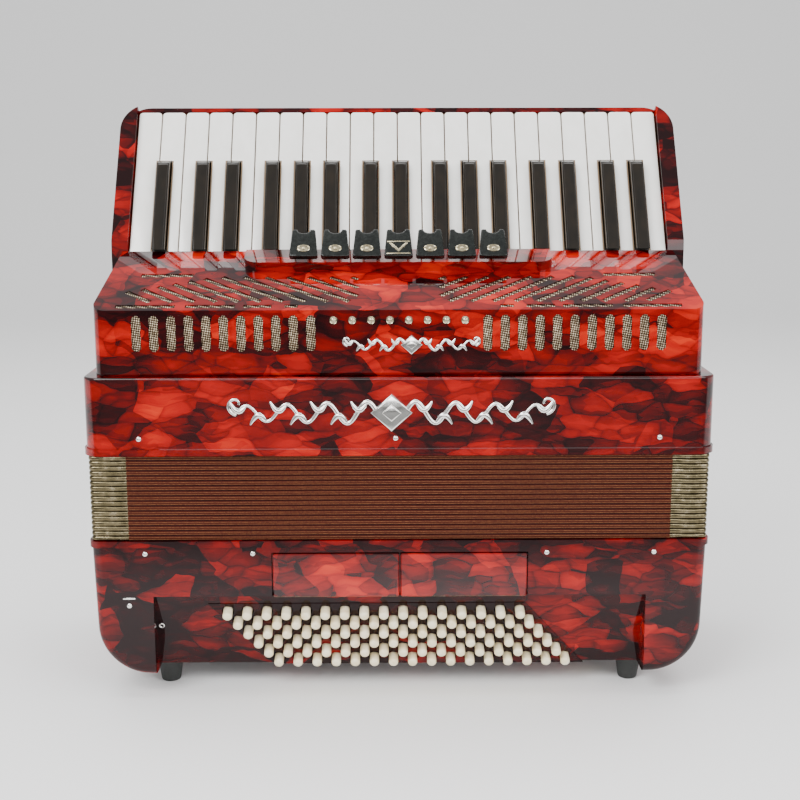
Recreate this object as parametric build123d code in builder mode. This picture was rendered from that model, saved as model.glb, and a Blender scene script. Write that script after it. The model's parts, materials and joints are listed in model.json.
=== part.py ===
from build123d import *
import os
from math import atan2, cos, degrees, radians, sin, tan

os.makedirs("parts", exist_ok=True)

# Piano accordion with 37 treble keys and 96 bass buttons, closed, standing on its bass feet.
# X runs along the keyboard, -Y is the front, +Z points from the bass end to the treble end.
# The origin is on the floor, under the centre of the overall box. Sizes are in millimetres.

# ---- the two cases and the bellows between them ----
case_width = 472.0          # treble case, end to end
case_depth = 190.0          # front wall to back wall, both cases
bass_width = 468.0
bass_taper = 3.0            # each end of the bass case leans in by this much towards the feet
bass_height = 108.0
bass_corner = 40.0          # radius of the bass case's lower corners, seen from the front
bellows_height = 66.0       # bellows squeezed shut
treble_height = 59.0
foot_height = 18.0
wall = 10.0                 # wooden walls of both cases
soundboard = 7.0            # boards that carry the reed blocks
edge_round = 8.0            # rounding of the cases' long edges
corner_round = 14.0         # upright corners of the treble case
bead_height = 5.0           # bead along each rim that meets the bellows
bead_out = 1.5
bead_round = 1.2
bass_floor_depth = 30.0     # from the bass rim down to the bass soundboard

# ---- bellows ----
fold_count = 17
fold_depth = 15.0
fold_bevel = 1.2            # how far each fold's outer edge stands out past the valley
bellows_inset = 1.0         # the folds stay this far inside the rims

# ---- grille over the treble mechanism ----
grille_width = 456.0
grille_narrowing = 9.0      # each end comes in by this much from front to back
grille_setback = 6.0
grille_front_height = 49.5
grille_slope = 23.0         # degrees above level
grille_run = 86.6           # level distance from the bend to the back edge
grille_wall = 3.0
grille_corner = 10.0
bend_round = 3.0

# ---- grille slots ----
front_slot_count = 11       # on each side of the middle
front_slot_pitch = 12.9
front_slot_first = 65.5     # from the middle to the first slot
front_slot_width = 7.0
front_slot_height = 27.0
front_slot_drop = 3.8       # from the bend to the slots' upper ends
slant_slot_count = 13
slant_slot_pitch = 16.5
slant_slot_width = 4.5
slant_slot_angle = 38.0     # from the keyboard's direction
slant_slot_first = 12.4     # where the innermost slot's line meets the slots' lower edge line
slant_inner_edge = 31.0     # the slots stop this far from the middle
slant_low = 13.0            # lower and upper ends, measured up the slope from the bend
slant_high = 51.0
slant_corner_x = 142.0      # outside this the upper ends come down towards the corner
slant_corner_fall = 0.36
bend_slot_rise = 6.0
bend_slot_width = 4.5
bend_slots = [(188.0, 44.0), (140.0, 37.0), (105.0, 21.0), (80.0, 10.0)]
corner_slot_x = 178.0
corner_slot_rise = 54.0
corner_slot_length = 40.0
corner_slot_width = 5.0

# ---- register platform and switches ----
platform_width = 240.0
platform_start = 58.0       # up the slope from the bend
platform_back = 6.0         # from the grille's back edge, so that the keys clear it
platform_lip = 8.0
platform_tilt = 16.0
platform_corner = 12.0
switch_count = 7
switch_pitch = 24.5
switch_base = 22.0
switch_tip = 18.0
switch_length = 24.0
switch_thickness = 5.0
switch_lean = 55.0          # degrees above level
switch_setback = 3.0        # from the platform's lip
switch_notch = 6.5
notch_sides = 12
switch_corner = 1.0
switch_gap = 1.2            # between a tablet's heel and the platform
switch_travel = 10.0        # degrees

# ---- keyboard ----
white_count = 22
white_pitch = 19.5
key_gap = 0.7
key_travel = 2.0            # degrees
key_lean = 32.0             # degrees back from upright
key_length = 129.0          # white key, from the grille to its tip
key_thickness = 9.0
key_lip = 11.0              # depth of the white key's front lip
key_lip_length = 3.0
key_corner = 1.5            # cut across each corner of a white key's tip
white_front = 47.0          # the part of a white key beyond the black keys
black_width = 10.2
black_rise = 9.0
black_nose = 6.0            # how far the black key's front slopes back
black_bevel = 1.2
black_gap = 0.9
grille_gap = 3.5            # between the grille's back edge and the key tops, level
key_tail = 12.0             # how far the keys reach in behind the grille's edge
cheek_rise = 6.0
cheek_gap = 0.5
cheek_width = 13.0
cheek_corner = 24.0
cheek_front_gap = 0.9
end_wall = 4.0
end_gap = 1.0
end_drop = 0.5
bed_gap = 0.5

# Black keys by the seam that each covers, counted from the left, and how far each stands off it.
black_seams = {
    1: 4.5, 3: -2.5, 4: 2.5, 6: -4.5, 7: 0.0, 8: 4.5, 10: -2.5, 11: 2.5,
    13: -4.5, 14: 0.0, 15: 4.5, 17: -2.5, 18: 2.5, 20: -4.5, 21: 0.0,
}

# ---- key levers, on one common rod ----
axle_radius = 1.5
axle_clearance = 0.05
axle_back = 12.0            # from the grille's edge down the key's line to the rod
axle_depth = 13.0           # from the key's top to the rod
axle_seat = 6.0             # length of rod held in each cheek
fork_half = 4.0             # half the width of the fork that hooks over the rod
fork_reach = 3.0            # how far the fork's prongs pass the rod's centre
lever_width = 3.0
lever_height = 5.0
lever_foot = 26.0           # length of lever glued under the key
pallet_thickness = 5.0
pallet_width = 12.0
pallet_length = 28.0
pallet_gap = 0.4
white_pallet_forward = 62.0
black_pallet_forward = 26.0

# ---- bass end ----
recess_top = 64.0           # height of the button recess above the underside
recess_step = 4.0
recess_width = 376.0
board_slope = 20.0          # degrees from upright
board_pocket = 16.0
button_columns = 16
button_rows = 6
note_rows = 2
button_pitch = 15.0
button_shift = 7.5
row_pitch = 9.4
first_row_drop = 15.5
button_row_x = -20.0        # middle of the first row
button_radius = 3.8
button_sides = 8
button_proud = 9.0
button_hidden = 8.0
button_travel = 4.0
bass_plate_travel = 3.0     # degrees
window_margin = 1.2
bass_plate_width = 96.0
bass_plate_height = 34.0
bass_plate_thickness = 7.0
bass_plate_proud = 1.5
bass_plate_gap = 1.0
bass_plate_back_gap = 3.0
bass_plate_drop = 5.5       # from the bass rim's bead to the opening
bass_plate_round = 1.5

# ---- feet, bass strap, air button, shoulder-strap brackets ----
foot_x = 183.0
foot_y = 56.0
foot_top_radius = 10.5
foot_bottom_radius = 7.5
strap_width = 46.0
strap_thickness = 4.0
strap_end = 204.0
strap_tab = 22.0
strap_ramp = 30.0
strap_floor_gap = 4.5
strap_y = 8.0
strap_bend = 30.0
air_x = 150.0
air_y = -50.0
air_radius = 7.0
air_proud = 7.0
air_hidden = 10.0
air_travel = 4.0
air_clearance = 0.5
bracket_out = 12.0
bracket_width = 40.0
bracket_height = 24.0
bracket_plate = 2.0
bracket_ear = 5.0
bracket_bar_radius = 2.0
bracket_high_x = 196.0
bracket_low_x = -196.0
bracket_low_z = 30.0        # above the treble case's rim, to a bracket's middle
bracket_high_z = 130.0

# ---- reed blocks ----
treble_blocks = 3
bass_blocks = 2
block_length = 400.0
block_width = 22.0
block_pitch = 44.0
treble_block_height = 62.0
bass_block_height = 52.0

# ---- heights and places that follow from these ----
case_y = -(bracket_out - bead_out) / 2
front_y = case_y - case_depth / 2
back_y = case_y + case_depth / 2
body_z = foot_height
bass_rim_z = body_z + bass_height
treble_rim_z = bass_rim_z + bellows_height
treble_top_z = treble_rim_z + treble_height

grille_y = front_y + grille_setback
bend_z = treble_top_z + grille_front_height
grille_back_y = grille_y + grille_run
grille_back_z = bend_z + grille_run * tan(radians(grille_slope))

lean = radians(key_lean)
key_y = grille_back_y + grille_gap
key_z = grille_back_z
key_span = white_count * white_pitch
bed_depth = axle_depth + fork_half + bed_gap
bed_length = key_length + end_gap + end_wall
bed_width = key_span + 2 * (cheek_gap + cheek_width)

# Key plane: local x along the keyboard, local y up the keys to their tips, normal out of the keys.
key_plane = Plane(
    origin=(0, key_y, key_z), x_dir=(1, 0, 0), z_dir=(0, -cos(lean), sin(lean))
)
along_keys = Axis(key_plane.origin, key_plane.y_dir)
out_of_keys = Axis(key_plane.origin, key_plane.z_dir)
slope = radians(grille_slope)
slope_plane = Plane(
    origin=(0, grille_y, bend_z), x_dir=(1, 0, 0), z_dir=(0, -sin(slope), cos(slope))
)


def beside_key(along, out):
    """The (y, z) of a point this far up the keys from the grille and this far out of their tops."""
    y = key_y + along * sin(lean) - out * cos(lean)
    z = key_z + along * cos(lean) + out * sin(lean)
    return (y, z)


def up_slope(along, out):
    """The (y, z) of a point this far up the grille's slope from the bend and out of its face."""
    y = grille_y + along * cos(slope) - out * sin(slope)
    z = bend_z + along * sin(slope) + out * cos(slope)
    return (y, z)


def save(builder, name):
    """Label a finished piece and write it."""
    builder.part.label = name
    export_step(builder.part, f"parts/{name}.step")


# ---- bass case: a wooden box with round lower corners, open towards the bellows ----
board_run = recess_top * tan(radians(board_slope))
board_angle = radians(board_slope)
board_plane = Plane(
    origin=(0, front_y + recess_step, body_z + recess_top),
    x_dir=(1, 0, 0),
    z_dir=(0, -cos(board_angle), -sin(board_angle)),
)
window_top = -(first_row_drop - button_radius - window_margin)
window_bottom = -(first_row_drop + (button_rows - 1) * row_pitch + button_radius + window_margin)
window_slant = button_shift / row_pitch
row_half = (button_columns - 1) * button_pitch / 2 + button_radius + 2 * window_margin


def window_x(height, side):
    """End of the button window at this height on the board; side is -1 or 1."""
    return button_row_x - (height + first_row_drop) * window_slant + side * row_half


bass_floor_z = bass_rim_z - bass_floor_depth
plate_opening_width = 2 * bass_plate_width + 3 * bass_plate_gap
plate_opening_height = bass_plate_height + 2 * bass_plate_gap
plate_z = bass_rim_z - bead_height - bass_plate_drop + bass_plate_gap - plate_opening_height / 2
plate_pin_y = front_y + bass_plate_round
plate_pin_z = plate_z + bass_plate_height / 2
plate_pocket = bass_plate_thickness - bass_plate_proud + bass_plate_back_gap

with BuildPart() as bass_case:
    with BuildSketch(Plane.XZ.offset(-front_y)) as outline:
        with BuildLine():
            Polyline(
                (-bass_width / 2, bass_rim_z),
                (-bass_width / 2 + bass_taper, body_z),
                (bass_width / 2 - bass_taper, body_z),
                (bass_width / 2, bass_rim_z),
                close=True,
            )
        make_face()
        fillet(outline.vertices().group_by(Axis.Y)[0], radius=bass_corner)
    extrude(amount=-case_depth)
    for flat in (bass_case.faces().sort_by(Axis.Y)[0], bass_case.faces().sort_by(Axis.Y)[-1]):
        fillet(flat.edges().filter_by(lambda e: e.center().Z < bass_rim_z - 1), radius=edge_round)
    # bead round the rim
    with BuildSketch(Plane.XY.offset(bass_rim_z - bead_height)) as bead:
        with Locations((0, case_y)):
            RectangleRounded(
                bass_width + 2 * bead_out, case_depth + 2 * bead_out, edge_round + bead_out
            )
    extrude(amount=bead_height)
    # room for the reed blocks, over the soundboard
    with BuildSketch(Plane.XY.offset(bass_rim_z)):
        with Locations((0, case_y)):
            Rectangle(bass_width - 2 * wall, case_depth - 2 * wall)
    extrude(amount=-bass_floor_depth, mode=Mode.SUBTRACT)
    # room for the bass mechanism, behind the button board
    with BuildSketch(Plane.YZ.offset(-recess_width / 2)):
        with BuildLine():
            Polyline(
                (front_y + plate_pocket + wall, bass_floor_z - soundboard),
                (front_y + plate_pocket + wall, body_z + recess_top),
                (front_y + recess_step + board_run + wall, body_z + wall),
                (back_y - wall, body_z + wall),
                (back_y - wall, bass_floor_z - soundboard),
                close=True,
            )
        make_face()
    extrude(amount=recess_width, mode=Mode.SUBTRACT)
    # opening for the two register plates
    with BuildSketch(Plane.XZ.offset(-front_y)):
        with Locations((0, plate_z)):
            Rectangle(plate_opening_width, plate_opening_height)
    extrude(amount=-plate_pocket, mode=Mode.SUBTRACT)
    # recess with the sloping button board
    with BuildSketch(Plane.YZ.offset(-recess_width / 2)):
        with BuildLine():
            Polyline(
                (front_y - 1, body_z + recess_top),
                (front_y + recess_step, body_z + recess_top),
                (front_y + recess_step + board_run, body_z),
                (front_y + recess_step + board_run, body_z - 1),
                (front_y - 1, body_z - 1),
                close=True,
            )
        make_face()
    extrude(amount=recess_width, mode=Mode.SUBTRACT)
    # slanting window for the six rows of buttons
    with BuildSketch(board_plane):
        with BuildLine():
            Polyline(
                (window_x(window_top, -1), window_top),
                (window_x(window_top, 1), window_top),
                (window_x(window_bottom, 1), window_bottom),
                (window_x(window_bottom, -1), window_bottom),
                close=True,
            )
        make_face()
    extrude(amount=-board_pocket, mode=Mode.SUBTRACT)
    # bore for the air button, from the underside
    with BuildSketch(Plane.XY.offset(body_z)):
        with Locations((air_x, air_y)):
            Circle(air_radius + air_clearance)
    extrude(amount=air_hidden + air_travel + 1, mode=Mode.SUBTRACT)
save(bass_case, "bass_case")

# ---- feet: four rubber cones under the bass case ----
with BuildPart() as bass_feet:
    for x in (-foot_x, foot_x):
        for y in (case_y - foot_y, case_y + foot_y):
            with BuildSketch(Plane((x, y, 0))):
                Circle(foot_bottom_radius)
            with BuildSketch(Plane((x, y, foot_height))):
                Circle(foot_top_radius)
            loft()
save(bass_feet, "bass_feet")

# ---- bass hand strap: a leather band bowed under the case, its ends flat against the underside ----
strap_high = body_z - strap_thickness / 2
strap_low = strap_floor_gap + strap_thickness / 2
strap_half = [
    (strap_end, strap_high),
    (strap_end - strap_tab, strap_high),
    (strap_end - strap_tab - strap_ramp, strap_low),
]
with BuildPart() as bass_strap:
    with BuildSketch(Plane.XZ.offset(-(case_y + strap_y) + strap_width / 2)):
        with BuildLine() as strap_line:
            FilletPolyline(
                *[(-x, z) for x, z in strap_half],
                *reversed(strap_half),
                radius=strap_bend,
            )
            offset(amount=strap_thickness / 2, side=Side.BOTH)
        make_face()
    extrude(amount=-strap_width)
save(bass_strap, "bass_strap")

# ---- bass buttons: note rows next to the bellows, chord rows below them ----
for group, first, last in (
    ("bass_note_buttons", 0, note_rows),
    ("bass_chord_buttons", note_rows, button_rows),
):
    with BuildPart() as buttons:
        with BuildSketch(board_plane.offset(-button_hidden)):
            for row in range(first, last):
                row_x = button_row_x + row * button_shift
                with Locations((row_x, -(first_row_drop + row * row_pitch))):
                    with GridLocations(button_pitch, 1, button_columns, 1):
                        RegularPolygon(button_radius, button_sides)
        extrude(amount=button_hidden + button_proud)
    save(buttons, group)

# ---- two bass register plates, side by side in one opening ----
for number, side in ((1, -1), (2, 1)):
    with BuildPart() as plate:
        with BuildSketch(Plane.XZ.offset(-front_y + bass_plate_proud)):
            with Locations((side * (bass_plate_width + bass_plate_gap) / 2, plate_z)):
                RectangleRounded(bass_plate_width, bass_plate_height, bass_plate_round)
        extrude(amount=-bass_plate_thickness)
        chamfer(plate.faces().sort_by(Axis.Y)[0].edges(), length=bass_plate_proud / 2)
    save(plate, f"bass_register_{number}")

# ---- air button, pushed up into the bass case by the thumb ----
with BuildPart() as air_button:
    with BuildSketch(Plane.XY.offset(body_z - air_proud)):
        with Locations((air_x, air_y)):
            Circle(air_radius)
    extrude(amount=air_proud + air_hidden)
    chamfer(air_button.faces().sort_by(Axis.Z)[0].edges(), length=air_radius / 6)
save(air_button, "air_button")

# ---- bass reed blocks, standing on the bass soundboard ----
with BuildPart() as bass_reed_block:
    with BuildSketch(Plane.XY.offset(bass_floor_z)):
        with Locations((0, case_y)):
            with GridLocations(1, block_pitch, 1, bass_blocks):
                Rectangle(block_length, block_width)
    extrude(amount=bass_block_height)
save(bass_reed_block, "bass_reed_block")

# ---- bellows: a square tube of folded card, each fold a ridge between two valleys ----
fold_height = bellows_height / fold_count
ridge_x = bass_width - 2 * bellows_inset
ridge_y = case_depth - 2 * bellows_inset
fold_angle = degrees(atan2(fold_bevel, fold_height / 2))
with BuildPart() as bellows:
    for fold in range(fold_count):
        with BuildSketch(Plane.XY.offset(bass_rim_z + (fold + 0.5) * fold_height)):
            with Locations((0, case_y)):
                Rectangle(ridge_x, ridge_y)
        extrude(amount=fold_height / 2, taper=fold_angle, both=True)
    with BuildSketch(Plane.XY.offset(bass_rim_z)):
        with Locations((0, case_y)):
            Rectangle(ridge_x - 2 * fold_depth, ridge_y - 2 * fold_depth)
    extrude(amount=bellows_height, mode=Mode.SUBTRACT)
save(bellows, "bellows")

# ---- treble case: a frame round the reed blocks, closed on top by the soundboard ----
with BuildPart() as treble_case:
    with BuildSketch(Plane.XY.offset(treble_rim_z)):
        with Locations((0, case_y)):
            RectangleRounded(case_width, case_depth, corner_round)
    extrude(amount=treble_height)
    fillet(treble_case.faces().sort_by(Axis.Z)[-1].edges(), radius=bead_out)
    with BuildSketch(Plane.XY.offset(treble_rim_z)):
        with Locations((0, case_y)):
            RectangleRounded(
                case_width + 2 * bead_out, case_depth + 2 * bead_out, corner_round + bead_out
            )
    extrude(amount=bead_height)
    with BuildSketch(Plane.XY.offset(treble_rim_z)):
        with Locations((0, case_y)):
            Rectangle(case_width - 2 * wall, case_depth - 2 * wall)
    extrude(amount=treble_height - soundboard, mode=Mode.SUBTRACT)
save(treble_case, "treble_case")

# ---- treble reed blocks, hanging from the treble soundboard ----
with BuildPart() as treble_reed_block:
    with BuildSketch(Plane.XY.offset(treble_top_z - soundboard)):
        with Locations((0, case_y)):
            with GridLocations(1, block_pitch, 1, treble_blocks):
                Rectangle(block_length, block_width)
    extrude(amount=-treble_block_height)
save(treble_reed_block, "treble_reed_block")


# ---- treble grille: a bent shell over the levers, pierced by slots, with the register platform ----
def grille_form(inset, height):
    """The grille's outer form, drawn in by inset on every side; height is how far it reaches up."""
    half_front = grille_width / 2 - inset
    half_back = half_front - grille_narrowing
    with BuildPart() as form:
        with BuildSketch(Plane.XY.offset(treble_top_z)) as plan:
            with BuildLine():
                Polyline(
                    (-half_front, grille_y + inset),
                    (half_front, grille_y + inset),
                    (half_back, grille_back_y),
                    (-half_back, grille_back_y),
                    close=True,
                )
            make_face()
            fillet(plan.vertices().group_by(Axis.Y)[0], radius=grille_corner - inset)
        extrude(amount=height)
        with BuildSketch(Plane.YZ.offset(-grille_width / 2)) as side:
            with BuildLine():
                Polyline(
                    (grille_y + inset, treble_top_z),
                    (grille_y + inset, bend_z - inset * tan(slope / 2)),
                    (grille_back_y, grille_back_z - inset / cos(slope)),
                    (grille_back_y, treble_top_z),
                    close=True,
                )
            make_face()
            fillet(side.vertices().sort_by(Axis.Y)[0:2].sort_by(Axis.Z)[-1], radius=bend_round)
        extrude(amount=grille_width, mode=Mode.INTERSECT)
    return form.part


grille_height = grille_back_z - treble_top_z
platform_point = up_slope(platform_start, 0)
platform_angle = radians(platform_tilt)
platform_plane = Plane(
    origin=(0, platform_point[0], platform_point[1] + platform_lip),
    x_dir=(1, 0, 0),
    z_dir=(0, -sin(platform_angle), cos(platform_angle)),
)
platform_depth = (grille_back_y - platform_back - platform_point[0]) / cos(platform_angle)


def slant_slot_ends(number):
    """Both ends of a slanting slot's centre line, on the left half of the sloping face."""
    rise = tan(radians(slant_slot_angle))
    foot_x = slant_slot_first - number * slant_slot_pitch
    low_x = min(foot_x, -slant_inner_edge)
    low = (low_x, slant_low + (foot_x - low_x) * rise)
    high_x = foot_x - (slant_high - slant_low) / rise
    if high_x > -slant_corner_x:
        return low, (high_x, slant_high)
    # meet the line that falls towards the outer corner
    edge_x = (
        slant_low + foot_x * rise - slant_high - slant_corner_x * slant_corner_fall
    ) / (rise + slant_corner_fall)
    return low, (edge_x, slant_high + (edge_x + slant_corner_x) * slant_corner_fall)


grille_body = grille_form(0, grille_height)
grille_hollow = grille_form(grille_wall, grille_height)
with BuildPart() as treble_grille:
    add(grille_body)
    with BuildSketch(platform_plane) as platform:
        with Locations((0, platform_depth / 2)):
            Rectangle(platform_width, platform_depth)
        fillet(platform.vertices().group_by(Axis.Y)[0], radius=platform_corner)
    extrude(amount=-platform_lip)
    add(grille_hollow, mode=Mode.SUBTRACT)
    # upright slots in the front
    with BuildSketch(Plane.XZ.offset(-grille_y)) as front_slots:
        slot_z = bend_z - front_slot_drop - front_slot_height / 2
        for number in range(front_slot_count):
            slot_x = front_slot_first + number * front_slot_pitch
            with Locations((-slot_x, slot_z), (slot_x, slot_z)):
                Rectangle(front_slot_width, front_slot_height)
        chamfer(front_slots.vertices(), length=front_slot_width / 3)
    extrude(amount=-2 * grille_wall, mode=Mode.SUBTRACT)
    # slanting slots, the short row along the bend and one slot in each outer corner
    with BuildSketch(slope_plane.offset(1)):
        for number in range(slant_slot_count):
            low, high = slant_slot_ends(number)
            length = ((low[0] - high[0]) ** 2 + (low[1] - high[1]) ** 2) ** 0.5
            middle = ((low[0] + high[0]) / 2, (low[1] + high[1]) / 2)
            with Locations(middle):
                Rectangle(length, slant_slot_width, rotation=-slant_slot_angle)
            with Locations((-middle[0], middle[1])):
                Rectangle(length, slant_slot_width, rotation=slant_slot_angle)
        for slot_x, length in bend_slots:
            with Locations((-slot_x, bend_slot_rise), (slot_x, bend_slot_rise)):
                Rectangle(length, bend_slot_width)
        with Locations((-corner_slot_x, corner_slot_rise), (corner_slot_x, corner_slot_rise)):
            Rectangle(corner_slot_length, corner_slot_width)
    extrude(amount=-2 * grille_wall, mode=Mode.SUBTRACT)
save(treble_grille, "treble_grille")

# ---- register switches: leaning tablets on a pivot at the platform's lip ----
switch_y = platform_point[0] + switch_setback
switch_z = platform_point[1] + platform_lip + switch_setback * tan(platform_angle)
switch_angle = radians(switch_lean)
switch_plane = Plane(
    origin=(0, switch_y, switch_z + switch_gap),
    x_dir=(1, 0, 0),
    z_dir=(0, -sin(switch_angle), cos(switch_angle)),
)
switch_pin_y = switch_y - sin(switch_angle) * switch_thickness / 2
switch_pin_z = switch_z + switch_gap + cos(switch_angle) * switch_thickness / 2
for number in range(switch_count):
    switch_x = (number - (switch_count - 1) / 2) * switch_pitch
    with BuildPart() as switch:
        with BuildSketch(switch_plane) as tablet:
            with Locations((switch_x, 0)):
                with BuildLine():
                    Polyline(
                        (switch_x - switch_base / 2, 0),
                        (switch_x + switch_base / 2, 0),
                        (switch_x + switch_tip / 2, switch_length),
                        (switch_x - switch_tip / 2, switch_length),
                        close=True,
                    )
            make_face()
            chamfer(tablet.vertices(), length=switch_corner)
            with Locations((switch_x, switch_length + switch_notch / 2)):
                RegularPolygon(switch_notch, notch_sides, mode=Mode.SUBTRACT)
        extrude(amount=switch_thickness)
    save(switch, f"register_switch_{number + 1}")

# ---- keyboard bed: the wedge behind the keys, with a cheek at each end ----
inner_width = bed_width - 2 * cheek_width
hollow_end = (back_y - wall - beside_key(0, -bed_depth - wall)[0]) / sin(lean)
with BuildPart() as keyboard_bed:
    with BuildSketch(Plane.YZ.offset(-bed_width / 2)):
        with BuildLine():
            Polyline(
                (grille_back_y + cheek_front_gap, treble_top_z),
                (grille_back_y + cheek_front_gap, key_z),
                beside_key(cheek_rise, cheek_rise),
                beside_key(bed_length, cheek_rise),
                beside_key(bed_length, -(back_y - beside_key(bed_length, 0)[0]) / cos(lean)),
                (back_y, treble_top_z),
                close=True,
            )
        make_face()
    extrude(amount=bed_width)
    with BuildSketch(key_plane.offset(2 * cheek_rise)) as face:
        with BuildLine():
            Polyline(
                (-bed_width / 2, -case_depth),
                (-bed_width / 2, bed_length),
                (bed_width / 2, bed_length),
                (bed_width / 2, -case_depth),
                close=True,
            )
        make_face()
        fillet(face.vertices().group_by(Axis.Y)[-1], radius=cheek_corner)
    extrude(amount=-2 * case_depth, mode=Mode.INTERSECT)
    # channel for the keys and their levers, closed by a low wall past the key tips
    with BuildSketch(Plane.YZ.offset(-inner_width / 2)):
        with BuildLine():
            Polyline(
                (front_y, treble_top_z),
                (front_y, key_z + case_depth),
                beside_key(bed_length + 1, cheek_rise + 1),
                beside_key(bed_length + 1, -end_drop),
                beside_key(key_length + end_gap, -end_drop),
                beside_key(key_length + end_gap, -bed_depth),
                beside_key(-axle_back, -bed_depth),
                (beside_key(-axle_back, -bed_depth)[0], treble_top_z),
                close=True,
            )
        make_face()
    extrude(amount=inner_width, mode=Mode.SUBTRACT)
    # the wedge is hollow, and open onto the treble soundboard
    with BuildSketch(Plane.YZ.offset(-inner_width / 2)):
        with BuildLine():
            Polyline(
                (beside_key(-axle_back, -bed_depth - wall)[0], treble_top_z),
                beside_key(-axle_back, -bed_depth - wall),
                beside_key(hollow_end, -bed_depth - wall),
                (back_y - wall, treble_top_z),
                close=True,
            )
        make_face()
    extrude(amount=inner_width, mode=Mode.SUBTRACT)
    # blind bores for the key rod
    axle_y, axle_z = beside_key(-axle_back, -axle_depth)
    with BuildSketch(Plane.YZ.offset(-inner_width / 2 - axle_seat)):
        with Locations((axle_y, axle_z)):
            Circle(axle_radius + axle_clearance)
    extrude(amount=inner_width + 2 * axle_seat, mode=Mode.SUBTRACT)
save(keyboard_bed, "keyboard_bed")

# ---- key rod ----
with BuildPart() as key_axle:
    with BuildSketch(Plane.YZ.offset(-inner_width / 2 - axle_seat)):
        with Locations((axle_y, axle_z)):
            Circle(axle_radius)
    extrude(amount=inner_width + 2 * axle_seat)
save(key_axle, "key_axle")


def seam_x(seam):
    """The seam between two white keys, counted from the left end."""
    return -key_span / 2 + seam * white_pitch


def lever_form(x, pallet_x, pallet_forward):
    """A key's lever: a fork hooked over the rod under the key, and an arm down to its pallet."""
    pallet_y = axle_y - pallet_forward
    pallet_top = treble_top_z + pallet_gap + pallet_thickness
    arm_y = pallet_forward
    arm_z = axle_z - pallet_top
    bore = axle_radius + axle_clearance
    with BuildPart() as form:
        with BuildSketch(Plane.YZ.offset(x - lever_width / 2)):
            with BuildLine():
                Polyline(
                    beside_key(-axle_back - fork_half, -axle_depth - fork_reach),
                    beside_key(-axle_back + fork_half, -axle_depth - fork_reach),
                    beside_key(lever_foot - axle_back, -key_thickness - 1),
                    beside_key(lever_foot - axle_back, 1 - key_thickness),
                    beside_key(-axle_back - fork_half, 1 - key_thickness),
                    close=True,
                )
            make_face()
            with Locations((axle_y - arm_y / 2, axle_z - arm_z / 2)):
                Rectangle((arm_y**2 + arm_z**2) ** 0.5, lever_height, rotation=degrees(atan2(arm_z, arm_y)))
            with Locations((axle_y, axle_z)):
                Circle(bore, mode=Mode.SUBTRACT)
            with BuildLine():
                Polyline(
                    beside_key(-axle_back - bore, -axle_depth),
                    beside_key(-axle_back + bore, -axle_depth),
                    beside_key(-axle_back + bore, -bed_depth),
                    beside_key(-axle_back - bore, -bed_depth),
                    close=True,
                )
            make_face(mode=Mode.SUBTRACT)
        extrude(amount=lever_width)
        with BuildSketch(Plane.XY.offset(treble_top_z + pallet_gap)):
            with Locations((pallet_x, pallet_y)):
                Rectangle(pallet_width, pallet_length)
        extrude(amount=pallet_thickness)
    return form.part


# ---- white keys: notched beside the black keys, each on its own lever ----
notch_start = key_length - white_front + black_gap
for number in range(white_count):
    left = seam_x(number) + key_gap / 2
    right = seam_x(number + 1) - key_gap / 2
    tail_left, tail_right = left, right
    if number in black_seams:
        notch = seam_x(number) + black_seams[number] + black_width / 2 + black_gap
        tail_left = max(left, notch)
    if number + 1 in black_seams:
        notch = seam_x(number + 1) + black_seams[number + 1] - black_width / 2 - black_gap
        tail_right = min(right, notch)
    lever = lever_form((tail_left + tail_right) / 2, (left + right) / 2, white_pallet_forward)
    with BuildPart() as white_key:
        with BuildSketch(key_plane) as top:
            with Locations(((tail_left + tail_right) / 2, (notch_start - key_tail) / 2)):
                Rectangle(tail_right - tail_left, notch_start + key_tail)
            with Locations(((left + right) / 2, (notch_start + key_length) / 2)):
                Rectangle(right - left, key_length - notch_start)
        extrude(amount=-key_thickness)
        with BuildSketch(key_plane):
            with Locations(((left + right) / 2, key_length - key_lip_length / 2)):
                Rectangle(right - left, key_lip_length)
        extrude(amount=-key_lip)
        tip = white_key.faces().sort_by(along_keys)[-1]
        chamfer(tip.edges().filter_by(lambda e: abs(e.tangent_at(0.5).X) < 0.5), length=key_corner)
        add(lever)
    save(white_key, f"white_key_{number + 1:02d}")

# ---- black keys: raised blocks with a sloping nose ----
black_length = key_length - white_front
edge_rise = 2.0             # how far a black key's heel stays above the grille's edge
heel_low = edge_rise / cos(lean)
heel_high = (edge_rise - black_rise * sin(lean)) / cos(lean)
for number, (seam, offset_x) in enumerate(black_seams.items()):
    middle = seam_x(seam) + offset_x
    lever = lever_form(middle, middle, black_pallet_forward)
    with BuildPart() as black_key:
        with BuildSketch(Plane.YZ.offset(middle - black_width / 2)):
            with BuildLine():
                Polyline(
                    beside_key(-key_tail, -key_thickness),
                    beside_key(-key_tail, 0),
                    beside_key(heel_low, 0),
                    beside_key(heel_high, black_rise),
                    beside_key(black_length - black_nose, black_rise),
                    beside_key(black_length, 0),
                    beside_key(black_length, -key_thickness),
                    close=True,
                )
            make_face()
        extrude(amount=black_width)
        crest = black_key.faces().sort_by(out_of_keys)[-1]
        chamfer(crest.edges().filter_by(lambda e: abs(e.tangent_at(0.5).X) < 0.5), length=black_bevel)
        add(lever)
    save(black_key, f"black_key_{number + 1:02d}")

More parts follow.
